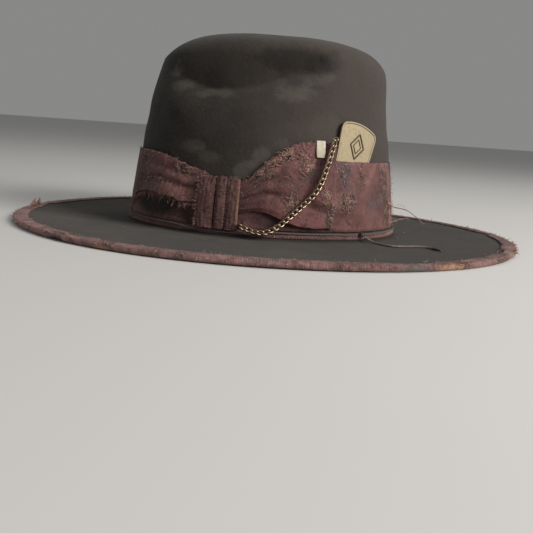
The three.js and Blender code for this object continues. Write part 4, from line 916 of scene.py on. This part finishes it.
def tag():
    T = TAG_T / 2
    loops = [(0.35, -T), (0.12, -T + 0.08), (0.0, -T + 0.3), (0.0, T - 0.3), (0.1, T - 0.08), (0.35, T), (0.95, T), (1.2, T - 0.08), (1.35, T - 0.45), (1.6, T - 0.52)]
    L = [to3(tag_outline(i), h) for i, h in loops]
    n = len(L[0]); v = np.concatenate(L)
    f = [(k * n + j, k * n + (j + 1) % n, (k + 1) * n + (j + 1) % n, (k + 1) * n + j) for k in range(len(L) - 1) for j in range(n)]
    f.append(tuple(range(n))[::-1]); f.append(tuple((len(L) - 1) * n + j for j in range(n)))
    return new_mesh("brass_tag_plate", v, f)
tag_o = finish_piece(tag(), TAG, "tag", ["brass_tag"])
for p in tag_o.data.polygons:
    if len(p.vertices) > 6: p.use_smooth = False
# plain raised lozenge: an outer border and a smaller inner lozenge, a generic ornament
t = Tubes()
h0 = TAG_T / 2 - 0.50
cx, cy = 1.0, 11.6
for w_, h_, r in ((6.2, 9.2, 0.62), (3.4, 5.2, 0.42)):
    k = np.array([(w_, 0), (0, h_), (-w_, 0), (0, -h_)])
    p2 = np.concatenate([k[i] + (k[(i + 1) % 4] - k[i]) * s for i in range(4) for s in [np.linspace(0, 1, 8, endpoint=False)[:, None]]]) + (cx, cy)
    t.add(to3(p2, h0), r, 8, closed=True, normals=np.broadcast_to(tagN, (len(p2), 3)))
finish_piece(t.obj("brass_tag_border"), TAG_DARK, "tag")

# ------------------------------------------------------------------ clip
cl = [j for j in frame["joints"] if j["name"] == "clip_slide"][0]
wv = unit(np.array(cl["axis"], float))
def clip():
    th = -67.4
    W = lambda a, z: Pz(a, z, rw_in_cad(a, z)).reshape(3)
    p1 = W(th, 70.8)
    e = unit(W(th + 2, 68) - W(th - 2, 68)); e = unit(e - wv * (e @ wv))
    n = np.cross(e, wv); n = n if n[1] < 0 else -n
    zt = float(tab(RW_TOP, th)); top = (zt - 70.8) / wv[2] + 0.5
    g, T, wi, yb, yi = 0.8, 0.8, 0.6, -9.6, -4.5
    # centre line of the folded strip, in (n, w)
    ro = wi + g + T / 2; ri = -g - T / 2; R = 0.7; yt = top + T / 2
    c = [(ro, yb)] + [(ro, y) for y in np.linspace(yb + 0.6, yt - R, 10)]
    c += [(ro - R + R * math.cos(a), yt - R + R * math.sin(a)) for a in np.linspace(0.15, math.pi / 2, 7)]
    c += [(ri + R - R * math.sin(a), yt - R + R * math.cos(a)) for a in np.linspace(0.1, math.pi / 2, 7)]
    c += [(ri, y) for y in np.linspace(yt - R - 0.5, yi, 6)]
    c = np.array(c, float)
    tt = unit(np.gradient(c, axis=0)); nn = np.stack([tt[:, 1], -tt[:, 0]], 1)
    half = 3.1
    sec = []
    ns = 20
    for a_ in range(ns):                       # rounded-rectangle section, across e and thickness
        w = 2 * math.pi * (a_ + 0.5) / ns
        sec.append((half * np.sign(math.cos(w)) * abs(math.cos(w)) ** 0.25, (T / 2) * np.sign(math.sin(w)) * abs(math.sin(w)) ** 0.45))
    v = []
    for i, (q, k) in enumerate(zip(c, nn)):
        shrink = 1 - 0.10 * (i == 0) - 0.08 * (i == len(c) - 1)
        taper = 1.0 - 0.10 * sstep(-6, -9.6, q[1]) if i < 11 else 1.0
        for se, sh in sec:
            v.append(p1 + n * (q[0] + k[0] * sh * shrink) + wv * (q[1] + k[1] * sh * shrink) + e * se * shrink * float(taper))
    f = [(i * ns + j, i * ns + (j + 1) % ns, (i + 1) * ns + (j + 1) % ns, (i + 1) * ns + j) for i in range(len(c) - 1) for j in range(ns)]
    f.append(tuple(range(ns))[::-1]); f.append(tuple((len(c) - 1) * ns + j for j in range(ns)))
    return new_mesh("bone_clip_visual", v, f)
def rw_in_cad(th, z):
    s = np.clip((th + 101) / 40, 0, 1)
    lo_, hi_ = tab(RW_BOT, th), tab(RW_TOP, th)
    k = np.clip((z - lo_) / (hi_ - lo_), 0, 1)
    return band_out(th, z) + 0.4 + tab(RW_BUL, s) * (1.15 - 0.25 * k)
finish_piece(clip(), BONE, "clip", ["bone_clip"])

# ------------------------------------------------------------------ inside: sweatband, welt, bow, lining
def inner_sheet(name, z0, z1, rows, off, thick, ripple=0.0, seed=0.0):
    N = 200
    th = np.linspace(-180, 180, N + 1)[:-1]
    K = np.linspace(0, 1, rows)
    TH, KK = np.meshgrid(th, K, indexing="ij")
    Z = z0 + (z1 - z0) * KK
    rp = ripple * nz(A3(TH * 1.6, 0 * TH, Z), 12.0, seed) if ripple else 0.0
    o = P(TH * D2R, tz(np.maximum(Z, 8)), -off - rp); i = P(TH * D2R, tz(np.maximum(Z, 8)), -off - thick - rp)
    o[..., 2] = Z; i[..., 2] = Z
    return sheet_mesh(name, o, i, th * 1.6, np.linspace(0, z1 - z0, rows), True)
sw = finish_piece(inner_sheet("sweatband_leather", 2.4, 52, 14, FELT_T + 0.4, 1.2, 0.0), LEATHER, "hat", ["sweatband"])
finish_piece(inner_sheet("sweatband_welt_visual", 0.4, 2.0, 4, FELT_T + 0.5, 1.3), WELT, "hat", ["sweatband_welt"])
t = Tubes()
for q in np.arange(-180, 180, 2.6):            # running stitch along the sweatband
    a = np.linspace(q, q + 1.5, 5)
    p = P(a * D2R, tz(8.0 + 0 * a), -(FELT_T + 0.4 + 1.25)); p[:, 2] = 4.2
    t.add(p, 0.2, 5)
    p = P(a * D2R, tz(49.5 + 0 * a), -(FELT_T + 0.4 + 1.25))
    t.add(p, 0.18, 5)
finish_piece(t.obj("sweatband_stitches"), TH_PALE, "hat")
def sweat_bow():
    x = CROWN_X + 103.7 - FELT_T - 0.4 - 1.2 - 0.8 - 1.2 - 0.9
    v, f = [], []
    ny, nz_ = 33, 9
    for side in (0, 1):
        for i in range(ny):
            y = -10 + 20 * i / (ny - 1)
            a = abs(y)
            hh = 1.1 + 3.1 * float(sstep(1.2, 8.5, a)) * (1 - 0.35 * float(sstep(9, 10, a)))
            for j in range(nz_):
                s = -1 + 2 * j / (nz_ - 1)
                puff = 0.45 * math.sin(math.pi * min(1, a / 10)) * (1 - s * s)
                v.append((x + 0.55 + (puff + 0.12 if side else -puff - 0.12) + 0.0, y, 9 + s * hh))
    n = ny * nz_
    for i in range(ny - 1):
        for j in range(nz_ - 1):
            q = (i * nz_ + j, i * nz_ + j + 1, (i + 1) * nz_ + j + 1, (i + 1) * nz_ + j)
            f.append(q); f.append(tuple(k + n for k in q)[::-1])
    edge = [i * nz_ for i in range(ny)] + [(ny - 1) * nz_ + j for j in range(1, nz_)] + [i * nz_ + nz_ - 1 for i in range(ny - 2, -1, -1)] + [j for j in range(nz_ - 2, 0, -1)]
    for a, b in zip(edge, edge[1:] + edge[:1]):
        f.append((b, a, a + n, b + n))
    return new_mesh("sweatband_bow_visual", v, f)
finish_piece(sweat_bow(), INNER, "hat", ["sweatband_bow"])
LG = FELT_T + 2.0
ls = finish_piece(inner_sheet("lining_side_satin", 54, 114, 26, LG + 1.5, 0.5), SATIN, "hat", ["lining_side"])
def lining_tip():
    N, rr = 160, np.linspace(0.9, 0.03, 26)
    th = np.arange(N) / N * 2 * np.pi
    O = [P(th, 2 - r, -LG) for r in rr]; I = [P(th, 2 - r, -LG - 0.5) for r in rr[::-1]]
    G = np.array(O + I); R = len(G)
    v = G.reshape(-1, 3)
    f = [(i * N + j, i * N + (j + 1) % N, ((i + 1) % R) * N + (j + 1) % N, ((i + 1) % R) * N + j) for i in range(R) if i != len(O) - 1 for j in range(N)]
    a = len(O) - 1
    f.append(tuple(a * N + j for j in range(N))); f.append(tuple((a + 1) * N + j for j in range(N))[::-1])
    return new_mesh("lining_tip_satin", v, f)
lt = finish_piece(lining_tip(), SATIN, "hat", ["lining_tip"])

# ------------------------------------------------------------------ frayed threads and stitches
def wisp(start, direction, length, r=0.11, droop=0.5, curl=0.35, seed=0, n=9, lift=None):
    """one loose thread end"""
    rs = np.random.RandomState(seed)
    d = unit(np.asarray(direction, float))
    length = length * 1.15
    p = [np.asarray(start, float)]
    k = rs.normal(0, 1, 3)
    for i in range(n - 1):
        d = unit(d + np.array([0, 0, -droop]) * (1.0 / n) * 1.2 + rs.normal(0, curl / 2.2, 3) + k * curl * 0.12)
        q = p[-1] + d * length / (n - 1)
        if q[2] < TOPZ + 0.25 and math.hypot(q[0] / BRIM_A, q[1] / BRIM_B) < 1.0: q[2] = TOPZ + 0.25
        if q[2] < 0.15: q[2] = 0.15
        p.append(q)
    return np.array(p), r

groups = {"rust": Tubes(), "pink": Tubes(), "pale": Tubes(), "dark": Tubes()}
def put(group, w):
    groups[group].add(w[0], w[1] * 1.75, 4, r_end=w[1] * 0.9)
cnt = 0
def crownpt(th, z, off):
    return Pz(th, z, off).reshape(3)
def outn(th, z):
    return crownN(th * D2R, tz(z)).reshape(3)
# left wing's torn lower edge: a fringe
for th in np.linspace(-166, -114, 150):
    a = float(stab(LW_BOT, th, 1.5)) + rng.uniform(-1.0, 0.6)
    o_ = float(lw_in(th, a)) + 0.3 - 0.4
    put(["pale", "pink", "rust", "pink"][rng.randint(4)], wisp(crownpt(th, a, o_), outn(th, a) * rng.uniform(-0.1, 0.5) + (rng.uniform(-0.5, 0.5), 0, -1.0), rng.uniform(1.5, 6.0), rng.uniform(0.07, 0.14), 0.6, 0.5, cnt)); cnt += 1
# top edges of the wings and keeper
for th in np.concatenate([np.linspace(-171, -113, 60), np.linspace(-99, -62, 70)]):
    T_ = LW_TOP if th < -105 else RW_TOP
    fn = lw_in if th < -105 else rw_in
    a = float(stab(T_, th, 1.5)) + rng.uniform(-0.6, 0.3)
    if rng.rand() < (0.75 if -97 < th < -74 else 0.55):
        put(["pale", "pink", "pink", "rust"][rng.randint(4)], wisp(crownpt(th, a, float(fn(th, a)) + 0.3), outn(th, a) * 0.6 + (rng.uniform(-1.2, 1.2), 0, rng.uniform(-0.4, 0.7)), rng.uniform(1.0, 4.0), rng.uniform(0.06, 0.12), 0.9, 0.8, cnt)); cnt += 1
# threads lying over the worn places of both wings and the band
for (cx_, cz_, sx, sz, nn_) in [(-90, 49, 5, 3, 60), (-86.5, 57, 4, 3, 60), (-81, 62, 4, 3, 90), (-73.5, 56, 3, 5, 90), (-79, 29, 3, 6, 50), (-66, 35, 1.5, 5, 40), (-62.7, 22, 0.8, 8, 46), (-54.5, 30, 2.5, 6, 60), (-57, 52, 2.5, 7, 30), (-47, 50, 0.8, 9, 16), (-28, 45, 5, 10, 40), (-20, 24, 4, 9, 46), (-137.5, 36, 5, 5, 80), (-123, 47.5, 5, 3, 70), (-150, 55, 4, 3, 40), (-146, 40, 6, 8, 30), (-130, 32, 8, 3, 50)]:
    for _ in range(nn_):
        th, z = cx_ + rng.normal(0, sx * 0.6), cz_ + rng.normal(0, sz * 0.6)
        if th < -105: o_ = float(lw_in(th, z)) + 0.62; zmax = float(stab(LW_TOP, th, 1.5)) - 0.5; zmin = float(stab(LW_BOT, th, 1.5)) + 1
        elif th < -61.5: o_ = float(rw_in(th, z)) + 0.75; zmax = float(stab(RW_TOP, th, 1.5)) - 0.5; zmin = float(stab(RW_BOT, th, 1.5)) + 1
        else: o_ = float(band_out(th, z)) + 0.2; zmax, zmin = 59.5, 12
        if not zmin < z < zmax: continue
        L_ = rng.uniform(1.5, 4.5); ang = rng.normal(0, 0.5) + (math.pi / 2 if rng.rand() < 0.6 else 0)
        s = np.linspace(0, 1, 6)
        tt_ = th + L_ * math.cos(ang) / 1.55 * s + 0.25 * np.sin(6 * s + rng.rand() * 6)
        zz_ = np.minimum(z + L_ * math.sin(ang) * s, zmax)
        fn = (lw_in if th < -105 else rw_in) if th < -61.5 else None
        off = (fn(tt_, zz_) + 0.8) if fn is not None else band_out(tt_, zz_) + 0.25
        pp = Pz(tt_, zz_, off + 0.35 * np.sin(np.pi * s) * rng.rand())
        groups[["pale", "pink", "rust", "dark", "pink", "pink"][rng.randint(6)]].add(pp, rng.uniform(0.10, 0.21), 4)
# keeper's left edge: rust and gold ends
for z in np.linspace(10, 43, 60):
    th = -115.4 + rng.uniform(-0.4, 0.6)
    put(["pink", "pale", "rust"][rng.randint(3)], wisp(crownpt(th, z, 4.4 + rng.uniform(-0.8, 0.4)), outn(th, z) * 0.35 + (-0.8, 0, rng.uniform(-0.8, 0.5)), rng.uniform(0.8, 3.2), rng.uniform(0.07, 0.14), 0.6, 0.6, cnt)); cnt += 1
# top and bottom ends of the keeper strips
for th in np.linspace(-115, -99.2, 36):
    put(["pink", "rust", "pale"][rng.randint(3)], wisp(crownpt(th, 43.4, 4.0), outn(th, 43) * 0.2 + (rng.uniform(-0.4, 0.4), 0, 0.9), rng.uniform(0.7, 2.4), 0.09, 0.5, 0.6, cnt)); cnt += 1
# overcast selvedge on the keeper's right edge and along the middle seam
for th0, z0, z1, col, step in [(-98.95, 9.5, 42.6, "rust", 0.8), (-104.0, 9.5, 43.0, "pink", 1.0)]:
    for z in np.arange(z0, z1, step):
        s = np.linspace(0, 1, 5)
        k = (z - 8) / 36
        h = 2.95 + 0.9 + 2.1 * math.sin(math.pi * min(0.97, max(0.03, k))) ** 0.4 * 0.66
        pp = Pz(th0 + (-0.55 + 1.0 * s), z + 0.5 * s, h + 0.1 - 0.9 * sstep(0.5, 1.0, s))
        groups[col].add(pp, 0.17, 4)
# right wing's raw side edge
for z in np.linspace(14, 71, 60):
    th = -61.0 + rng.uniform(-0.3, 0.2)
    if rng.rand() < 0.7:
        put(["pale", "pink", "rust"][rng.randint(3)], wisp(crownpt(th, z, float(rw_in(th, z)) + 0.35), outn(th, z) * 0.25 + (0.8, 0.5, rng.uniform(-0.7, 0.4)), rng.uniform(0.8, 2.6), rng.uniform(0.06, 0.11), 0.6, 0.6, cnt)); cnt += 1
# long threads of the torn back edge of the band, at the right
for pts_, r_, col in [([(92.5, -30, 29.5), (97.9, -24, 26.6), (104, -22, 25.6), (109.8, -22, 24.1), (116, -22, 20.2), (122.5, -22, 14.8)], 0.50, "pink"), ([(93.5, -30, 14.5), (99.0, -24, 15.6), (105, -22, 17.4), (110.4, -22, 18.4)], 0.42, "pink"),
                      ([(92.5, -30, 30.5), (98, -26, 28.0), (103, -25, 28.8), (107, -27, 26.5)], 0.18, "pale"), ([(93.2, -30, 16.5), (98, -27, 18), (101, -26, 15.5)], 0.16, "rust")]:
    sp_ = resample(spline([np.array(p) for p in pts_], 120), 26)[0]
    groups[col].add(sp_, r_, 6, r_end=r_ * 0.45)
    for q_ in range(5):
        put("pale", wisp(sp_[-1 - q_ * 2], unit(sp_[-1] - sp_[-4]) + rng.normal(0, 0.5, 3), rng.uniform(1.0, 2.5), 0.07, 0.3, 0.5, cnt)); cnt += 1
# lint on the brim
for lx_, ly_, n_ in [(112.9, 2.8, 9), (101.4, -31.1, 8), (-99.7, -77.5, 6)]:
    for q_ in range(n_):
        s = np.linspace(0, 1, 7)
        c0_ = np.array([lx_, ly_, TOPZ + 0.45]) + rng.normal(0, 0.5, 3) * (1, 1, 0.25)
        pp = c0_[None] + np.stack([1.1 * np.cos(5 * s + q_), 1.0 * np.sin(4 * s + 2 * q_), 0.4 * np.abs(np.sin(3 * s))], 1)
        groups["pink"].add(pp * 0.55 + c0_[None] * 0.45, 0.13, 4)
for z in np.linspace(12, 58, 46):
    put(["pink", "pale", "rust"][rng.randint(3)], wisp(crownpt(-8 + rng.uniform(-4, 4), z, 1.2), (1, rng.uniform(-0.6, 0.6), rng.uniform(-0.8, 0.4)), rng.uniform(0.8, 3.0), 0.09, 0.5, 0.8, cnt)); cnt += 1
# fraying of the brim binding: short ends nearly everywhere, tufts at the worn places
def edge_pt(deg, out=0.6, z=3.6):
    a = deg * D2R
    x, y = (FE_A + out) * math.cos(a), (FE_B + out) * math.sin(a)
    return np.array([x, y, z + float(brim_wave(x, y))]), unit(np.array([math.cos(a) / FE_A, math.sin(a) / FE_B, 0.0]))
for _ in range(900):
    deg = rng.uniform(-180, 180)
    p, nn_ = edge_pt(deg, rng.choice([-9.0, -8.6, 0.9, 1.2]), 4.1)
    if p[2] > 3.9 and rng.rand() < 0.35: p, nn_ = edge_pt(deg, 1.35, rng.uniform(1.4, 3.2))
    put(["pink", "rust", "pale", "pink"][rng.randint(4)], wisp(p, nn_ * rng.uniform(-1, 1) + (rng.uniform(-1, 1), rng.uniform(-1, 1), 0.25), rng.uniform(0.8, 3.0), rng.uniform(0.06, 0.11), 0.7, 0.8, cnt)); cnt += 1
for c_, n_, spread, L_ in [(-66, 30, 2.0, 3.0), (-55.8, 46, 2.0, 3.5), (-48, 50, 3.0, 4.0), (-129, 50, 3.5, 4.5), (-120, 40, 2.0, 4.0), (-106, 30, 3.0, 3.5), (-96, 34, 1.5, 3.5), (-22, 60, 4.0, 4.5), (-7, 50, 4.0, 5.0), (9.5, 44, 4.0, 5.0), (18.7, 30, 3, 4.5), (-35, 40, 2.5, 4.0), (172.5, 54, 2.0, 5.0), (165, 24, 3.0, 4.0), (178, 20, 3.0, 3.0), (70, 30, 4, 4), (120, 30, 5, 4)]:
    for _ in range(n_):
        p, nn_ = edge_pt(c_ + rng.normal(0, spread * 0.5), rng.uniform(-3.0, 1.2), rng.uniform(2.0, 4.1))
        put(["rust", "pale", "pink", "dark"][rng.randint(4)], wisp(p, nn_ * rng.uniform(0.2, 1.0) + (rng.uniform(-0.8, 0.8), rng.uniform(-0.8, 0.8), rng.uniform(-0.2, 0.6)), rng.uniform(0.3, 1.0) * L_, rng.uniform(0.07, 0.14), 0.7, 0.7, cnt)); cnt += 1
# loops of torn ribbon ply at the front left tip
for q in range(8):
    p, nn_ = edge_pt(173.5 + q * 0.9, -3.0, 4.3)
    w = np.linspace(0, math.pi, 12)
    h = rng.uniform(2.5, 5.5); L_ = rng.uniform(3, 7)
    side = np.array([-nn_[1], nn_[0], 0])
    pp = p[None] + side[None] * (L_ * (w / math.pi - 0.5))[:, None] + np.array([0, 0, 1.0])[None] * (h * np.sin(w))[:, None] + nn_[None] * (rng.uniform(-2, 1) * np.sin(w))[:, None]
    groups[["rust", "pale", "pink"][q % 3]].add(pp, 0.42, 5)
# two sewn loops that hold the chain's end rings
for p_, th_, z_ in ((rl, -98.2, 12.8), (ru, -62.4, 72.0)):
    n_ = outn(th_, z_)
    for q in range(3):
        w = np.linspace(0, 2 * np.pi, 20, endpoint=False)
        c_ = p_ - n_ * 1.7 + np.array([0, 0, 0.3 * q])
        e_ = np.cross(n_, [0, 0, 1.0])
        pp = c_[None] + n_[None] * (1.9 * np.cos(w))[:, None] + (np.array([0, 0, 1.0]) * 0.8 + e_ * 0.3)[None] * (0.9 * np.sin(w))[:, None]
        groups["dark"].add(pp, 0.13, 5, closed=True)
for k, g_ in groups.items():
    finish_piece(g_.obj("frayed_threads_" + k), {"rust": TH_RUST, "pink": TH_PINK, "pale": TH_PALE, "dark": TH_DARK}[k], "hat")

# ------------------------------------------------------------------ stage and light
fm = Mat("floor")
g = fm.noise(3.0, 3, 0.5)
fm.set(Base_Color=fm.mix(g, (0.55, 0.545, 0.53), (0.59, 0.58, 0.57)), Roughness=0.9)
bpy.ops.mesh.primitive_plane_add(size=30, location=(0, 0, 0))
floor = bpy.context.object
floor.name = "floor"
floor.data.materials.append(fm.m)
floor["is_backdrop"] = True

def area(name, loc, target, size, power, color=(1, 1, 1)):
    l = bpy.data.lights.new(name, "AREA")
    l.shape, l.size, l.size_y, l.energy, l.color = "RECTANGLE", size[0], size[1], power, color
    o = bpy.data.objects.new(name, l)
    o.location = loc
    o.rotation_mode = "QUATERNION"
    o.rotation_quaternion = (Vector(target) - Vector(loc)).to_track_quat("-Z", "Y")
    scene.collection.objects.link(o)
area("key", (1.25, -0.85, 0.78), (0, 0, 0.08), (0.70, 0.70), 33, (1.0, 0.965, 0.92))
area("fill", (-1.2, -1.0, 0.55), (0, 0, 0.06), (1.2, 1.0), 2.0, (0.95, 0.98, 1.0))
area("top", (0.25, 0.35, 1.5), (0, 0, 0.1), (1.0, 1.0), 4.5, (1.0, 0.99, 0.97))
world = bpy.data.worlds.new("world")
world.use_nodes = True
world.node_tree.nodes["Background"].inputs[0].default_value = (0.80, 0.80, 0.79, 1)
world.node_tree.nodes["Background"].inputs[1].default_value = 0.31
scene.world = world
scene.view_settings.view_transform = "Standard"
scene.view_settings.look = "None"

a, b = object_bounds()
